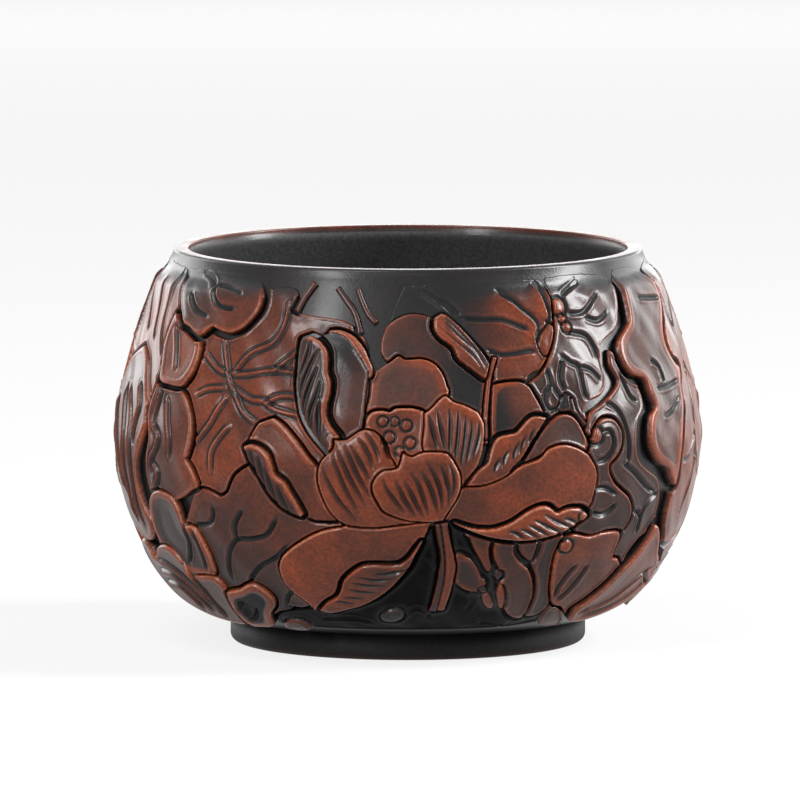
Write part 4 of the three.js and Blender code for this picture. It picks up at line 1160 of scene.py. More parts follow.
@dataclass
class LaidShape:
    """A shape flattened to millimetres along the wall, for one piece's own scale.

    Attributes:
        per_degree: millimetres round the wall in a degree.
        melt: reach over which the outline's inner corners are rounded off.
        rim_out: how far in the rim's tone reaches, in rim widths.
        hollow_from: where the hollow starts, in rim widths.
        base_run: how much sooner than at its tip a face has its full rise.
        film: thickness left where a face melts into the wall.
        band: height at which a face has melted away under the lip.
        flank: how steeply a face's sides fall.
        flank_shade: the tone of the painted shade on them.
    """

    shape: Shape
    per_degree: float
    stem_points: int = 40
    line_points: int = 6
    melt: float = 0.8
    rim_out: float = 1.25
    rim_run: float = 0.6
    edge_drop: float = 0.22
    dome: float = 1.8
    hollow_from: float = 0.8
    hollow_run: float = 2.2
    base_run: float = 1.3
    wave_share: float = 0.4
    wave_run: float = 2.0
    film: float = 0.06
    band: float = 57.8
    band_run: float = 3.0
    bare: float = 57.3
    bare_run: float = 3.5
    flank: float = 5.0
    flank_width: float = 0.12
    flank_shade: float = -0.7
    flank_from: float = 0.1
    flank_run: float = 0.4

    def __post_init__(self) -> None:
        """Flattens the outline, and the two sides where the shape has them."""
        s = self.shape
        self.sides = None
        if s.ring:
            self.outline = self.flat(spline([*s.ring, s.ring[0]])[:-1])
        elif s.path:
            middle = evenly(self.flat(spline(s.path)), self.stem_points)
            along = np.gradient(middle, axis=0)
            across = np.column_stack([-along[:, 1], along[:, 0]]) / np.hypot(*along.T)[:, None]
            self.sides = (middle - across * s.width / 2, middle + across * s.width / 2)
            self.outline = np.vstack([self.sides[0], self.sides[1][::-1]])
        else:
            left, right = spline(s.left), spline(s.right)
            over = spline([s.left[-1], *s.top, s.right[-1]])[1:-1] if s.top else np.zeros((0, 2))
            closed = s.left[0] == s.right[0]
            self.outline = self.flat(np.vstack([left, over, right[::-1][: -1 if closed else None]]))
            self.sides = (self.flat(np.vstack([left, over])), self.flat(right))

    def flat(self, line: Array) -> Array:
        """Degrees and heights to millimetres along the wall."""
        return np.column_stack([line[:, 0] * self.per_degree, WALL.run_at(line[:, 1])])

    def height(self, patch: Patch) -> Skin:
        """The face's height over the wall and its tone.

        Args:
            patch: the points.

        Returns:
            Heights in millimetres, and tones, at each point.
        """
        s = self.shape
        deep = depth_inside(self.outline, patch.u, patch.v)
        soft = patch.soften(deep, self.melt)
        side = {Side.LEFT: 0, Side.RIGHT: 1}.get(s.rim_side)
        rim_gap = soft if side is None else distance_to(self.sides[side], patch.u, patch.v)[0]
        bead = s.bead * np.sqrt(hump(rim_gap - s.rim / 2, s.rim / 2)) * (deep > 0)
        h, tone = self.fade(patch, self.face(patch, deep, soft) + bead, self.face_tone(patch, rim_gap))
        for mark, lines in ((GROOVE, s.grooves), (RIB if s.ridged else CUT_VEIN, s.veins), (FOLD, s.folds)):
            for line in lines:
                self.carve(mark, line, patch, h, tone)
        for turn, height, radius, rise in s.beads:
            h, tone = BUD.set(self.gap_to(turn, height, patch) / radius, rise, h, tone)
        # Painted shade darkens the sides where the face falls away into the gap.
        out = 1 - np.exp(np.minimum(deep, 0) / self.flank_width)
        shaded = out * smoothstep((h - self.flank_from) / self.flank_run)
        return np.where(deep < 0, h + self.flank * deep, h), tone - (tone - self.flank_shade) * shaded

    def face(self, patch: Patch, deep: Array, soft: Array) -> Array:
        """The bare face: its rise, its rounded edge, its dome, its hollow and its waves.

        Args:
            patch: the points.
            deep: how deep inside the outline each lies.
            soft: the same with its creases rounded off.

        Returns:
            Heights over the wall.
        """
        s = self.shape
        rise = np.full(patch.u.shape, s.rise)
        if s.base_rise is not None and self.sides:
            base, tip = ((self.sides[0][end] + self.sides[1][end]) / 2 for end in (0, -1))
            axis = tip - base
            along = ((patch.u - base[0]) * axis[0] + (patch.v - base[1]) * axis[1]) / (axis @ axis)
            rise = s.base_rise + (s.rise - s.base_rise) * smoothstep(along * self.base_run)
        drop, width = (s.round, self.dome) if s.round else (self.edge_drop, s.edge)
        h = rise - drop * quarter_round(deep / width)
        h = h - s.hollow * smoothstep((soft - s.rim * self.hollow_from) / self.hollow_run)
        wave = sum(w.strength * np.sin(patch.u * w.across + patch.v * w.up + w.shift) for w in WAVES)
        return h + s.waves * self.wave_share * wave * smoothstep(soft / self.wave_run)

    def face_tone(self, patch: Patch, rim_gap: Array) -> Array:
        """The bare face's tone, with its lean and its rim.

        Args:
            patch: the points.
            rim_gap: how far each lies from the side that carries the rim.

        Returns:
            Tones.
        """
        s = self.shape
        low, high = self.outline.min(axis=0), self.outline.max(axis=0)
        size = (high - low) / 2
        middle = low + size
        lean = s.lean[0] * (patch.u - middle[0]) / size[0] + s.lean[1] * (patch.v - middle[1]) / size[1]
        tone = np.clip(s.tone + lean, -1, 1)
        on_rim = smoothstep((s.rim * self.rim_out - rim_gap) / (s.rim * self.rim_run))
        return tone + (s.rim_tone - tone) * on_rim

    def fade(self, patch: Patch, h: Array, tone: Array) -> Skin:
        """Lets a face melt into the band under the lip, and into its sinks.

        Args:
            patch: the points.
            h: heights of the face.
            tone: its tones.

        Returns:
            The new heights and tones.
        """
        if self.shape.top_fade:
            level = WALL.height_at(patch.v)
            h = self.film + (h - self.film) * smoothstep((self.band - level) / self.band_run)
            tone = tone * smoothstep((self.bare - level) / self.bare_run)
        for turn, height, radius in self.shape.sinks:
            near = bell(self.gap_to(turn, height, patch), radius)
            h = h * (1 - near) + self.film * near
            tone = tone * (1 - near)
        return h, tone

    def gap_to(self, turn: float, height: float, patch: Patch) -> Array:
        """Millimetres from each point to one on the wall."""
        middle = self.flat(np.array([(turn, height)]))[0]
        return np.hypot(patch.u - middle[0], patch.v - middle[1])

    def carve(self, mark: Mark, line: Line, patch: Patch, h: Array, tone: Array) -> None:
        """Carves one line into the face, changing its heights and tones in place.

        Args:
            mark: the line's section.
            line: the line, in degrees and heights.
            patch: the points.
            h: heights of the face.
            tone: its tones.
        """
        path = evenly(self.flat(spline(line)), self.line_points * len(line))
        close = patch.within(path.min(axis=0) - mark.reach, path.max(axis=0) + mark.reach)
        gap, along = distance_to(path, patch.u[close], patch.v[close])
        if isinstance(mark, Fold):
            path = evenly(self.flat(spline(line)), mark.points)
            heading = np.gradient(path, axis=0)
            spot = (along * (mark.points - 1)).astype(int)
            away = np.column_stack([patch.u[close], patch.v[close]]) - path[spot]
            gap = np.sign(heading[spot, 0] * away[:, 1] - heading[spot, 1] * away[:, 0]) * gap
        h[close], tone[close] = mark.cut(self.shape, gap, along, h[close], tone[close])


@dataclass(frozen=True)
class Relief:
    """Builds the relief pieces of one lotus and copies them to the rear.

    Attributes:
        grid: millimetres from one grid point to the next.
        sunk: how far a piece's edge goes into the wall.
        skirt: how far its underside lies below that edge.
        own_floor: height of the gap's bottom between a piece's own faces.
        wide_floor: height of a wide gap's bottom, which shows the wall.
        wide: the width from which a gap is wide.
        plunge: how steeply a piece falls beneath another.
        brown_rise: height over the wall at which a face has its full brown.
        worn_lit_reach: reach over which the edges that stand up are found, in millimetres.
        worn_lit_from: how far an edge has to stand up before it is worn paler and given a painted highlight.
        worn_lit_least: the darkest tone that is worn paler and highlighted.
    """

    grid: float = 0.17
    margin: float = 0.6
    least_run: float = 0.4
    past_shoulder: float = 0.4
    sunk: float = 0.5
    skirt: float = 0.4
    own_floor: float = 0.3
    narrow_floor: float = 0.05
    wide_floor: float = -0.3
    wide: float = 0.9
    plunge: float = 3.0
    brown_rise: float = 0.7
    worn_lit_reach: float = 0.25
    worn_lit_from: float = 0.05
    worn_lit_run: float = 0.2
    worn_lit_low: float = 0.3
    worn_lit_low_run: float = 0.4
    worn_lit_least: float = -0.2
    worn_lit_brown: float = 0.35
    flat_angle: float = 5.0

    def build(self, paint: bpy.types.Material) -> list[bpy.types.Object]:
        """Makes every piece, front and rear.

        Args:
            paint: the glaze that they take.

        Returns:
            The pieces.
        """
        carvings = (*LEAVES, *LOTUS)
        pieces = []
        for order, carving in enumerate(carvings):
            mesh = self.mesh_of(carving, carvings[order + 1 :], carvings)
            for half, turn, own in (("front", 0.0, mesh), ("rear", math.pi, mesh.copy())):
                name = f"{half}_{carving.name}"
                own.transform(Matrix.Rotation(turn, 4, "Z"))
                own.name = f"{name}_carved"
                piece = bpy.data.objects.new(f"{name}_carved", own)
                hand_over(piece, name, paint)
                pieces.append(piece)
        return pieces

    def mesh_of(
        self, carving: Carving, over: Sequence[Carving], everything: Sequence[Carving]
    ) -> bpy.types.Mesh:
        """Lays one carving on the wall.

        Args:
            carving: the piece.
            over: the pieces that lie over it.
            everything: every piece of this half, whose turned copies may lie over it too.

        Returns:
            The finished mesh.
        """
        drawn = [
            point
            for face in carving.faces
            for line in (face.ring, face.left, face.right, face.top, face.path)
            for point in line
        ]
        middle_height = np.array([height for _, height in drawn]).mean()
        per_degree = math.radians(1) * float(WALL.radius(np.array(middle_height)))
        faces = [LaidShape(face, per_degree) for face in carving.faces]
        bm = bmesh.new()
        patch = self.patch_under(faces, bm)
        h, tone = self.surface(faces, patch)
        for other in over:
            self.tuck_under(other, 0.0, per_degree, patch, h, tone)
        for turn in (-180.0, 180.0):
            for other in everything:
                if other.name != carving.name:
                    self.tuck_under(other, turn, per_degree, patch, h, tone)
        tone = self.wear_and_light_edges(patch, h, tone)
        placed = WALL.place(patch.u / per_degree, patch.v, h)
        under = WALL.place(patch.u / per_degree, patch.v, np.full(h.shape, -self.sunk - self.skirt))
        self.close(bm, placed, under, tone, h < -self.sunk)
        mesh = bpy.data.meshes.new(carving.name)
        bm.to_mesh(mesh)
        bm.free()
        return mesh

    def patch_under(self, faces: Sequence[LaidShape], bm: bmesh.types.BMesh) -> Patch:
        """Lays a grid under a piece's faces.

        Args:
            faces: the faces.
            bm: the empty mesh that takes the grid.

        Returns:
            The grid's points, in the order of the mesh's.
        """
        outline = np.vstack([face.outline for face in faces])
        low, high = outline.min(axis=0) - self.margin, outline.max(axis=0) + self.margin
        high[1] = min(high[1], float(WALL.run_at(WALL.shoulder_height)) + self.past_shoulder)
        low[1] = max(low[1], self.least_run)
        steps = np.maximum(np.ceil((high - low) / self.grid).astype(int), 4)
        bmesh.ops.create_grid(bm, x_segments=int(steps[0]), y_segments=int(steps[1]), size=0.5)
        bm.verts.ensure_lookup_table()
        flat = np.array([v.co[:2] for v in bm.verts]) + 0.5
        u, v = (low + flat * (high - low)).T
        last = [np.unique(flat[:, axis]).size - 1 for axis in (0, 1)]
        return Patch(u, v, np.rint(flat * last).astype(int), self.grid, low, high)

    def surface(self, faces: Sequence[LaidShape], patch: Patch) -> Skin:
        """Lays a piece's faces over one another.

        Args:
            faces: the faces, the lowest first.
            patch: the points.

        Returns:
            The height and tone of the highest face at each point.
        """
        h, tone = faces[0].height(patch)
        for face in faces[1:]:
            over, over_tone = face.height(patch)
            deep = depth_inside(face.outline, patch.u, patch.v)
            h, tone = GAP.cut(deep, face.shape, self.own_floor, h, tone)
            tone = np.where(over > h, over_tone, tone)
            h = np.maximum(h, over)
        return h, tone

    def tuck_under(
        self, other: Carving, turn: float, per_degree: float, patch: Patch, h: Array, tone: Array
    ) -> None:
        """Lowers a piece along and beneath another that lies over it, with the gap's painted shade, in place.

        Args:
            other: the piece that lies over it.
            turn: degrees that the other is turned round the cup.
            per_degree: millimetres round the wall in a degree.
            patch: the points.
            h: the piece's heights.
            tone: its tones.
        """
        for face in other.faces:
            ring = LaidShape(face, per_degree).outline + np.array([turn * per_degree, 0.0])
            reach = face.clear + face.shadow
            close = patch.within(ring.min(axis=0) - reach, ring.max(axis=0) + reach)
            if not close.size:
                continue
            deep = depth_inside(ring, patch.u[close], patch.v[close])
            floor = self.narrow_floor if face.clear < self.wide else self.wide_floor
            part, tone[close] = GAP.cut(deep, face, floor, h[close], tone[close])
            h[close] = np.where(deep > 0, part - self.plunge * deep, part)

    def wear_and_light_edges(self, patch: Patch, h: Array, tone: Array) -> Array:
        """Makes the edges that stand up paler, as wear and as a painted highlight, and keeps the low ground
        dark.

        Args:
            patch: the points.
            h: the piece's heights.
            tone: its tones.

        Returns:
            The new tones.
        """
        tone = np.where(tone > 0, tone * smoothstep(h / self.brown_rise), tone)
        # Edges that stand up are worn paler and take a painted highlight.
        top = np.maximum(h, -self.sunk)
        proud = np.clip((top - patch.soften(top, self.worn_lit_reach) - self.worn_lit_from) / self.worn_lit_run, 0, 1)
        worn_edge_highlight = proud * smoothstep((h - self.worn_lit_low) / self.worn_lit_low_run)
        return np.where(tone > self.worn_lit_least, tone + self.worn_lit_brown * worn_edge_highlight, tone)

    def close(
        self, bm: bmesh.types.BMesh, placed: Array, under: Array, tone: Array, gone: Array
    ) -> None:
        """Bends the grid to its shape and closes it with an underside.

        Args:
            bm: the grid.
            placed: where each point of the face goes.
            under: where the point below it goes.
            tone: the face's tones.
            gone: whether a point is cut away.
        """
        shade = bm.verts.layers.float.new("tone")
        number = bm.verts.layers.int.new("number")
        for i, vert in enumerate(bm.verts):
            vert.co = placed[i]
            vert[shade] = tone[i]
            vert[number] = i
        bmesh.ops.delete(bm, geom=[vert for vert in bm.verts if gone[vert[number]]], context="VERTS")
        shell = bmesh.ops.extrude_face_region(bm, geom=list(bm.faces), use_keep_orig=True)
        below = [g for g in shell["geom"] if isinstance(g, bmesh.types.BMVert)]
        for vert in below:
            vert.co = under[vert[number]]
        hidden = [g for g in shell["geom"] if isinstance(g, bmesh.types.BMEdge) and len(g.link_faces) == 2]
        sunken = set(below)
        middle = [vert for vert in below if all(e.other_vert(vert) in sunken for e in vert.link_edges)]
        inner = set(middle)
        flat_edges = [e for e in hidden if not inner.isdisjoint(e.verts)]
        angle = math.radians(self.flat_angle)
        bmesh.ops.dissolve_limit(bm, angle_limit=angle, verts=middle, edges=flat_edges)
        bmesh.ops.recalc_face_normals(bm, faces=list(bm.faces))
        for face in bm.faces:
            face.smooth = True
        bm.verts.layers.int.remove(number)


# Bowl and foot.


@dataclass(frozen=True)
class Turned:
    """A piece spun on the wheel from a profile of radius and height in millimetres.

    Attributes:
        node: the frame's node that it stands for.
        slot: its material slot, which is not used.
        weld: how far apart points may lie and still be joined, in metres.
        base_tone: the tone of its plain glaze.
    """

    name: str
    node: str
    slot: Slot
    steps: int = 288
    weld: float = 1e-6
    base_tone: float = 0.015

    def profile(self) -> Array:
        """The closed profile's points."""
        raise NotImplementedError

    def tone(self, radii: Array, heights: Array) -> Array:
        """How much browner than its plain glaze the piece is at each radius and height."""
        raise NotImplementedError

    def within(self, radii: Array, heights: Array) -> Array:
        """1 in a matt hollow, else 0."""
        return np.zeros(radii.shape)

    def build(self, paint: bpy.types.Material) -> bpy.types.Object:
        """Spins the profile.

        Args:
            paint: the piece's glaze.

        Returns:
            The piece.
        """
        points = self.profile()
        bm = bmesh.new()
        ring = [bm.verts.new((r * MM, 0.0, z * MM)) for r, z in points]
        edges = [bm.edges.new(pair) for pair in zip(ring, ring[1:])]
        on_axis = points[0][0] == 0 and points[-1][0] == 0
        if not on_axis:
            edges.append(bm.edges.new((ring[-1], ring[0])))
        bmesh.ops.spin(
            bm, geom=[*ring, *edges], cent=(0, 0, 0), axis=(0, 0, 1), dvec=(0, 0, 0), angle=2 * math.pi,
            steps=self.steps, use_merge=True, use_duplicate=False,
        )
        bmesh.ops.remove_doubles(bm, verts=list(bm.verts), dist=self.weld)
        bmesh.ops.recalc_face_normals(bm, faces=list(bm.faces))
        shade = bm.verts.layers.float.new("tone")
        matt = bm.verts.layers.float.new("matt")
        corners = np.array([vert.co for vert in bm.verts]) / MM
        radii, heights = np.hypot(corners[:, 0], corners[:, 1]), corners[:, 2]
        browns = np.clip(self.base_tone + self.tone(radii, heights), 0, 1)
        for vert, brown, dull in zip(bm.verts, browns, self.within(radii, heights)):
            vert[shade] = brown
            vert[matt] = dull
        for face in bm.faces:
            face.smooth = True
        mesh = bpy.data.meshes.new(self.name)
        bm.to_mesh(mesh)
        bm.free()
        piece = bpy.data.objects.new(self.name, mesh)
        hand_over(piece, self.node, paint)
        return piece


@dataclass(frozen=True)
class Bowl(Turned):
    """The thrown bowl: its wall, lip, hollow and floor.

    Attributes:
        lip_crest: radius of its inner edge.
        matt_below: how far under the rim the matt hollow starts.
        reach_in: how far past the hollow's own skin a point still counts as hollow.
        throat_depth: how far under the shoulder the throat runs on into the hollow.
    """

    name: str = "bowl"
    node: str = "bowl_wall"
    slot: Slot = Slot.DARK
    lip_flat: float = 1.4
    lip_round: float = 0.6
    lip_crest: float = 0.22
    crest_tone: float = 0.7
    crest_run: float = 0.5
    matt_below: float = 0.4
    reach_in: float = 0.4
    throat_depth: float = 1.0

    def tone(self, radii: Array, heights: Array) -> Array:
        """Warm on the lip's crest."""
        on_crest = radii < WALL.mouth_radius + self.lip_round
        return self.crest_tone * (bell(heights - WALL.rim_height, self.crest_run) * on_crest)

    def within(self, radii: Array, heights: Array) -> Array:
        """1 in the hollow, 0 on the outside.

        Args:
            radii: the points' radii.
            heights: their heights.

        Returns:
            1 or 0 for each point.
        """
        below_lip = heights < WALL.rim_height - self.matt_below
        above_floor = heights > WALL.foot_height + WALL.floor_thickness / 2
        return (below_lip & above_floor & (radii < WALL.inner_radius(heights) + self.reach_in)).astype(float)

    def profile(self) -> Array:
        """Draws the profile from the underside's middle round to the floor's middle.

        Returns:
            Its points.
        """
        w = WALL
        floor = w.foot_height + w.floor_thickness
        heights, radii, _ = w.table()
        outside = [(r, z) for r, z in zip(radii[::12], heights[::12]) if z < w.shoulder_height - 0.05]
        shoulder = [(w.shoulder_radius, w.shoulder_height)]
        turn = np.linspace(0, math.pi / 2, 8)
        outer = np.column_stack([
            w.mouth_radius + self.lip_flat + self.lip_round * np.cos(turn),
            w.rim_height - self.lip_round * (1 - np.sin(turn)),
        ])
        inner = np.column_stack([
            w.mouth_radius - self.lip_crest * np.sin(turn),
            w.rim_height - self.lip_crest * (1 - np.cos(turn)),
        ])
        throat_end = w.shoulder_height - self.throat_depth
        throat = bezier([
            (w.mouth_radius - self.lip_crest, w.rim_height - self.lip_crest - 0.1),
            (w.mouth_radius - self.lip_crest, w.rim_height - 1.0),
            (w.inner_radius(w.shoulder_height) - 0.15, w.shoulder_height + 0.2),
            (w.inner_radius(throat_end), throat_end),
        ], 8)
        down = floor + (throat_end - floor) * np.linspace(1, 0, 70)[1:-1] ** w.table_bias
        hollow = np.column_stack([w.inner_radius(down), down])
        under, middle = [(0, w.foot_height)], [(0, floor)]
        return np.vstack([under, outside, shoulder, outer, inner, throat, hollow, middle])


@dataclass(frozen=True)
class Foot(Turned):
    """The turned foot ring.
    """

    name: str = "foot"
    node: str = "foot_ring"
    slot: Slot = Slot.FOOT
    outer_edge: float = 1.2
    inner_edge: float = 0.5
    edge_tone: float = 0.35
    edge_run: float = 0.6

    def tone(self, radii: Array, heights: Array) -> Array:
        """Warm on the edge that it rests on."""
        return self.edge_tone * bell(heights, self.edge_run)

    def profile(self) -> Array:
        """Draws the ring's section, its lower edges rounded.

        Returns:
            Its points.
        """
        inner = WALL.foot_radius - WALL.foot_width
        turn = np.linspace(0, math.pi / 2, 9)
        rounding = np.column_stack([
            WALL.foot_radius - self.outer_edge * (1 - np.sin(turn)),
            self.outer_edge * (1 - np.cos(turn)),
        ])
        inside_edge = np.column_stack([
            inner + self.inner_edge * (1 - np.cos(turn)),
            self.inner_edge * (1 - np.sin(turn)),
        ])
        top = [(WALL.foot_radius, WALL.foot_height), (inner, WALL.foot_height)]
        return np.vstack([inside_edge, rounding, top])


# Finishes.


@dataclass(frozen=True)
class Graph:
    """A material's or a world's nodes, with one way to add them."""

    tree: bpy.types.NodeTree

    def add(self, kind: str, **given: object) -> bpy.types.Node:
        """Adds a node.

        Args:
            kind: the node's type name after ShaderNode.
            given: its properties by name, and its inputs as in_ and a name or number.

        Returns:
            The node.
        """
        node = self.tree.nodes.new(f"ShaderNode{kind}")
        for key, value in given.items():
            if not key.startswith("in_"):
                setattr(node, key, value)
                continue
            slot = key[3:]
            socket = node.inputs[int(slot)] if slot.isdigit() else node.inputs[slot.replace("_", " ")]
            if isinstance(value, Socket):
                self.tree.links.new(value, socket)
            else:
                socket.default_value = value
        return node


@dataclass(frozen=True)
class Glaze:
    """A fired finish on stoneware, worn back by hand-rubbing.

    Attributes:
        dark: colour of the plain glaze.
        warm: colour of the red-brown clay that rubbing lays bare.
        worn_edge_highlight: colour of the edges that stand up most, worn paler and with a painted highlight.
        inner: colour of the hollow, where the piece has one.
        rough: roughness of the face.
        inner_rough: roughness of the hollow and of the carved lines.
        specular: how strongly the face mirrors, 0.5 for plain glass.
        coat: weight of the thin glassy skin.
        cut_shade: colour of the painted shade in the carved lines, where the piece has them.
        cut_shade_mirror: share of the mirroring that the carved lines keep under their painted shade.
        patches: rubbed patches in a metre, about 8 mm each.
        grains: grains in a metre, half a millimetre each, coarser than real so that they show.
        bump: height of the grain, in metres.
    """

    name: str
    dark: str
    warm: str
    worn_edge_highlight: str = "a06c56"
    inner: str = ""
    rough: float = 0.4
    inner_rough: float = 0.62
    specular: float = 0.3
    coat: float = 0.2
    coat_rough: float = 0.17
    ior: float = 1.5
    cut_shade: str = ""
    cut_shade_mirror: float = 0.1
    patches: float = 130.0
    grains: float = 2000.0
    bump: float = 0.00006

    def material(self) -> bpy.types.Material:
        """Builds the node material.

        Returns:
            The material.
        """
        made = bpy.data.materials.new(self.name)
        made.use_nodes = True
        made.node_tree.nodes.clear()
        g = Graph(made.node_tree)
        where = g.add("TexCoord").outputs["Object"]
        speck = g.add("TexNoise", in_Vector=where, in_Scale=self.grains, in_Detail=2.0).outputs["Fac"]
        tone = g.add("Attribute", attribute_name="tone").outputs["Fac"]
        recess = g.add("MapRange", in_Value=tone, in_1=0.0, in_2=-1.0).outputs[0]
        colour, rough = self.skin(g, where, tone, recess)
        grain = g.add("MapRange", in_Value=speck, in_1=0.3, in_2=0.7, in_3=0.7, in_4=1.3).outputs[0]
        colour = g.add("HueSaturation", in_Value=grain, in_Color=colour).outputs[0]
        bump = g.add("Bump", in_Height=speck, in_Distance=self.bump, in_Strength=0.5).outputs[0]
        shader = g.add("BsdfPrincipled", in_Base_Color=colour, in_Roughness=rough, in_Normal=bump)
        shader.inputs["Specular IOR Level"].default_value = self.specular
        shader.inputs["Coat Weight"].default_value = self.coat
        shader.inputs["Coat Roughness"].default_value = self.coat_rough
        shader.inputs["IOR"].default_value = self.ior
        # Painted shade in the carved lines also dims their mirroring and their coat.
        if self.cut_shade:
            faint = (self.cut_shade_mirror,) * 3 + (1.0,)
            white = (1.0, 1.0, 1.0, 1.0)
            dull = g.add("Mix", data_type="RGBA", in_0=recess, in_6=white, in_7=faint).outputs[2]
            coat = g.add("MapRange", in_Value=recess, in_3=self.coat, in_4=self.coat * self.cut_shade_mirror)
            g.tree.links.new(dull, shader.inputs["Specular Tint"])
            g.tree.links.new(coat.outputs[0], shader.inputs["Coat Weight"])
        g.add("OutputMaterial", in_Surface=shader.outputs[0])
        return made

    def skin(
        self, g: Graph, where: Socket, tone: Socket, recess: Socket
    ) -> tuple[Socket, Socket]:
        """Builds the colour and the roughness: cloudy, warmer where the clay is red-brown, paler with a
        painted highlight on the worn edges, and matt and near black with painted shade where carved.

        Args:
            g: the material's nodes.
            where: the place on the object.
            tone: the tone at that place.
            recess: 1 where painted shade makes a recess matt black.

        Returns:
            The colour and the roughness.
        """
        cloud = g.add("TexNoise", in_Vector=where, in_Scale=self.patches, in_Detail=6.0, in_Roughness=0.62)
        cloud = cloud.outputs["Fac"]
        patchy = g.add("MapRange", in_Value=cloud, in_1=0.36, in_2=0.64, in_3=0.5, in_4=1.15).outputs[0]
        share = g.add("Math", operation="MULTIPLY", use_clamp=True, in_0=tone, in_1=patchy).outputs[0]
        edge = g.add("MapRange", in_Value=tone, in_1=1.0, in_2=1.5).outputs[0]
        dark, warm, pale = linear(self.dark), linear(self.warm), linear(self.worn_edge_highlight)
        brown = g.add("Mix", data_type="RGBA", in_0=share, in_6=dark, in_7=warm).outputs[2]
        colour = g.add("Mix", data_type="RGBA", in_0=edge, in_6=brown, in_7=pale).outputs[2]
        least, most = self.rough - 0.05, self.rough + 0.07
        rough = g.add("MapRange", in_Value=cloud, in_1=0.3, in_2=0.7, in_3=least, in_4=most).outputs[0]
        matt = g.add("Attribute", attribute_name="matt").outputs["Fac"]
        # Painted shade makes the carved recesses near black; the hollow takes its own matt colour.
        for code, place in ((self.cut_shade, recess), (self.inner, matt)):
            if code:
                colour = g.add("Mix", data_type="RGBA", in_0=place, in_6=colour, in_7=linear(code)).outputs[2]
                rough = g.add("MapRange", in_Value=place, in_3=rough, in_4=self.inner_rough).outputs[0]
        return colour, rough


# Rubbed stoneware: warm brown where the hand reaches, with painted shade that makes the carved lines nearly
# black.
RELIEF_GLAZE = Glaze(
    "rubbed_glazed_stoneware",
    dark="0c0c0d", warm="7a3416", cut_shade="040404", rough=0.33, specular=0.22, coat=0.18,
)
# Dark satin stoneware: an even, nearly black skin with a trace of brown, matt in the hollow.
BOWL_GLAZE = Glaze(
    "dark_satin_stoneware",
    dark="0f0f10", warm="6f3420", inner="333334", rough=0.33, specular=0.2, coat=0.14,
)
# Bare foot: duller than the wall, because it is wiped clean of glaze.
FOOT_CLAY = Glaze("bare_foot_stoneware", dark="141414", warm="4a2a20", rough=0.6, specular=0.15, coat=0.0)


# Studio.


@dataclass(frozen=True)
class Softbox:
    """An area light that looks at the cup.

    Attributes:
        mirrored: whether the glaze mirrors it, as it doesn't where the light is much spread.
    """

    name: str
    place: tuple[float, float, float]
    size: tuple[float, float]
    watts: float
    mirrored: bool = True

    def build(self) -> None:
        """Hangs the light and points it at the cup's middle."""
        lamp = bpy.data.lights.new(self.name, "AREA")
        lamp.shape = "RECTANGLE"
        lamp.size, lamp.size_y = self.size
        lamp.energy = self.watts
        lamp_object = bpy.data.objects.new(self.name, lamp)
        lamp_object.location = self.place
        lamp_object.visible_glossy = self.mirrored
        aim = Vector(CUP_MIDDLE) - Vector(self.place)
        lamp_object.rotation_euler = aim.to_track_quat("-Z", "Y").to_euler()
        bpy.context.collection.objects.link(lamp_object)


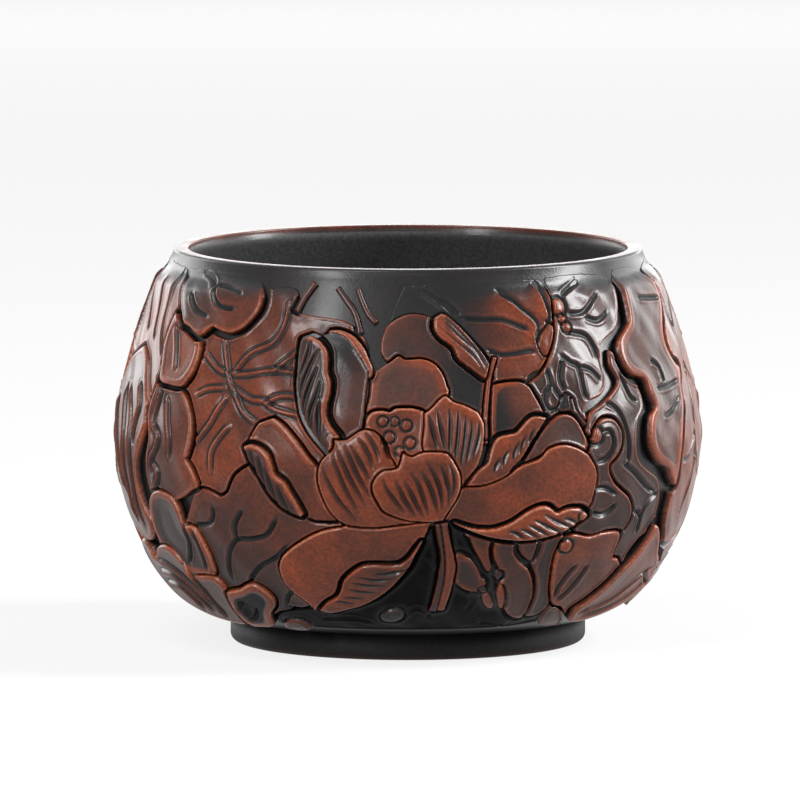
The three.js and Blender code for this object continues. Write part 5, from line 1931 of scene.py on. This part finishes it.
@dataclass(frozen=True)
class Studio:
    """Floor, backdrop, lights and camera. Lengths are in metres and angles in degrees.

    Attributes:
        backdrop: colour that the camera and the glaze see.
        unseen: colour of the world that lights the cup.
        paper: colour of the floor that lights the cup.
        glow: share of the floor that shines by itself, so that its shadow stays faint.
        floor_gap: how far the floor lies under the foot, so that their faces don't coincide.
    """

    backdrop: str = "f6f6f6"
    unseen: str = "303030"
    paper: str = "9c9c9c"
    glow: float = 0.85
    glow_colour: str = "f9f9f9"
    floor_size: float = 3.0
    floor_gap: float = 0.00005
    distance: float = 2.2
    elevation: float = 6.3
    lens: float = 651.0
    film: float = 36.0
    clips: tuple[float, float] = (0.1, 20.0)
    aim_left: float = 0.0012
    aim_up: float = 0.0065
    lights: tuple[Softbox, ...] = (
        Softbox("right_softbox", (0.6, -0.02, 0.36), (0.16, 0.48), 9.6),
        Softbox("left_softbox", (-0.46, -0.56, 0.33), (0.14, 0.4), 4.2),
        Softbox("front_softbox", (-0.1, -0.9, 0.36), (0.6, 0.3), 0.6),
        Softbox("front_spread", (-0.1, -0.9, 0.42), (0.8, 0.6), 1.0, mirrored=False),
        Softbox("top_softbox", (-0.3, -0.35, 0.8), (0.4, 0.25), 3.4),
        Softbox("back_left_softbox", (-0.6, 0.55, 0.2), (0.4, 0.6), 3.0),
        Softbox("back_right_softbox", (0.6, 0.55, 0.2), (0.4, 0.6), 2.0),
        Softbox("rim_softbox", (0.0, 1.2, 0.2), (1.6, 0.25), 4.0),
    )

    def build(self) -> None:
        """Sets everything up."""
        for light in self.lights:
            light.build()
        self.build_world()
        self.build_floor()
        self.build_camera()

    def seen(self, g: Graph) -> Socket:
        """Tells the rays that see the background from those that light the cup.

        Args:
            g: the nodes that ask.

        Returns:
            1 for rays from the camera and for rays that mirror or pass through, else 0.
        """
        ray = g.add("LightPath").outputs
        mirrored, passed = ray["Is Glossy Ray"], ray["Is Transmission Ray"]
        shiny = g.add("Math", operation="MAXIMUM", in_0=mirrored, in_1=passed).outputs[0]
        return g.add("Math", operation="MAXIMUM", in_0=ray["Is Camera Ray"], in_1=shiny).outputs[0]

    def build_world(self) -> None:
        """Makes a pale backdrop that lights the cup only a little."""
        world = bpy.data.worlds.new("studio")
        world.use_nodes = True
        world.node_tree.nodes.clear()
        g = Graph(world.node_tree)
        dim, pale = linear(self.unseen), linear(self.backdrop)
        colour = g.add("Mix", data_type="RGBA", in_0=self.seen(g), in_6=dim, in_7=pale).outputs[2]
        back = g.add("Background", in_Color=colour, in_Strength=1.0)
        g.add("OutputWorld", in_Surface=back.outputs[0])
        bpy.context.scene.world = world

    def build_floor(self) -> None:
        """Lays a pale paper floor that melts into the backdrop and keeps the cup's soft shadow."""
        bm = bmesh.new()
        bmesh.ops.create_grid(bm, x_segments=8, y_segments=8, size=self.floor_size)
        mesh = bpy.data.meshes.new("floor")
        bm.to_mesh(mesh)
        bm.free()
        paper = bpy.data.materials.new("pale_paper")
        paper.use_nodes = True
        paper.node_tree.nodes.clear()
        g = Graph(paper.node_tree)
        matt = g.add("BsdfDiffuse", in_Color=linear(self.paper)).outputs[0]
        lit = g.add("BsdfDiffuse", in_Color=linear(self.backdrop)).outputs[0]
        glow = g.add("Emission", in_Color=linear(self.glow_colour), in_Strength=1.0).outputs[0]
        pale = g.add("MixShader", in_0=self.glow, in_1=lit, in_2=glow).outputs[0]
        both = g.add("MixShader", in_0=self.seen(g), in_1=matt, in_2=pale)
        g.add("OutputMaterial", in_Surface=both.outputs[0])
        mesh.materials.append(paper)
        mesh.transform(Matrix.Translation((0, 0, -self.floor_gap)))
        floor = bpy.data.objects.new("floor", mesh)
        bpy.context.collection.objects.link(floor)

    def build_camera(self) -> None:
        """Sets up a long lens a little above the cup's middle."""
        up = math.radians(self.elevation)
        rise = Vector((0, math.sin(up), math.cos(up))) * self.aim_up
        aim = Vector(CUP_MIDDLE) + Vector((-self.aim_left, 0, 0)) + rise
        back = Vector((0, -math.cos(up), math.sin(up)))
        data = bpy.data.cameras.new("camera")
        data.sensor_width = self.film
        data.lens = self.lens
        data.clip_start, data.clip_end = self.clips
        camera = bpy.data.objects.new("camera", data)
        camera.location = aim + back * self.distance
        camera.rotation_euler = (-back).to_track_quat("-Z", "Y").to_euler()
        bpy.context.collection.objects.link(camera)
        bpy.context.scene.camera = camera


def main() -> None:
    logging.basicConfig(level=logging.INFO, format="%(name)s: %(message)s")
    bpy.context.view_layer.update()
    pieces = [Bowl().build(BOWL_GLAZE.material()), Foot().build(FOOT_CLAY.material())]
    relief = Relief()
    pieces += relief.build(RELIEF_GLAZE.material())
    for piece in pieces:
        log.info("%s has %d faces", piece.name, len(piece.data.polygons))
    Studio().build()
    bpy.context.scene.view_settings.view_transform = "Standard"


if __name__ == "__main__":
    main()
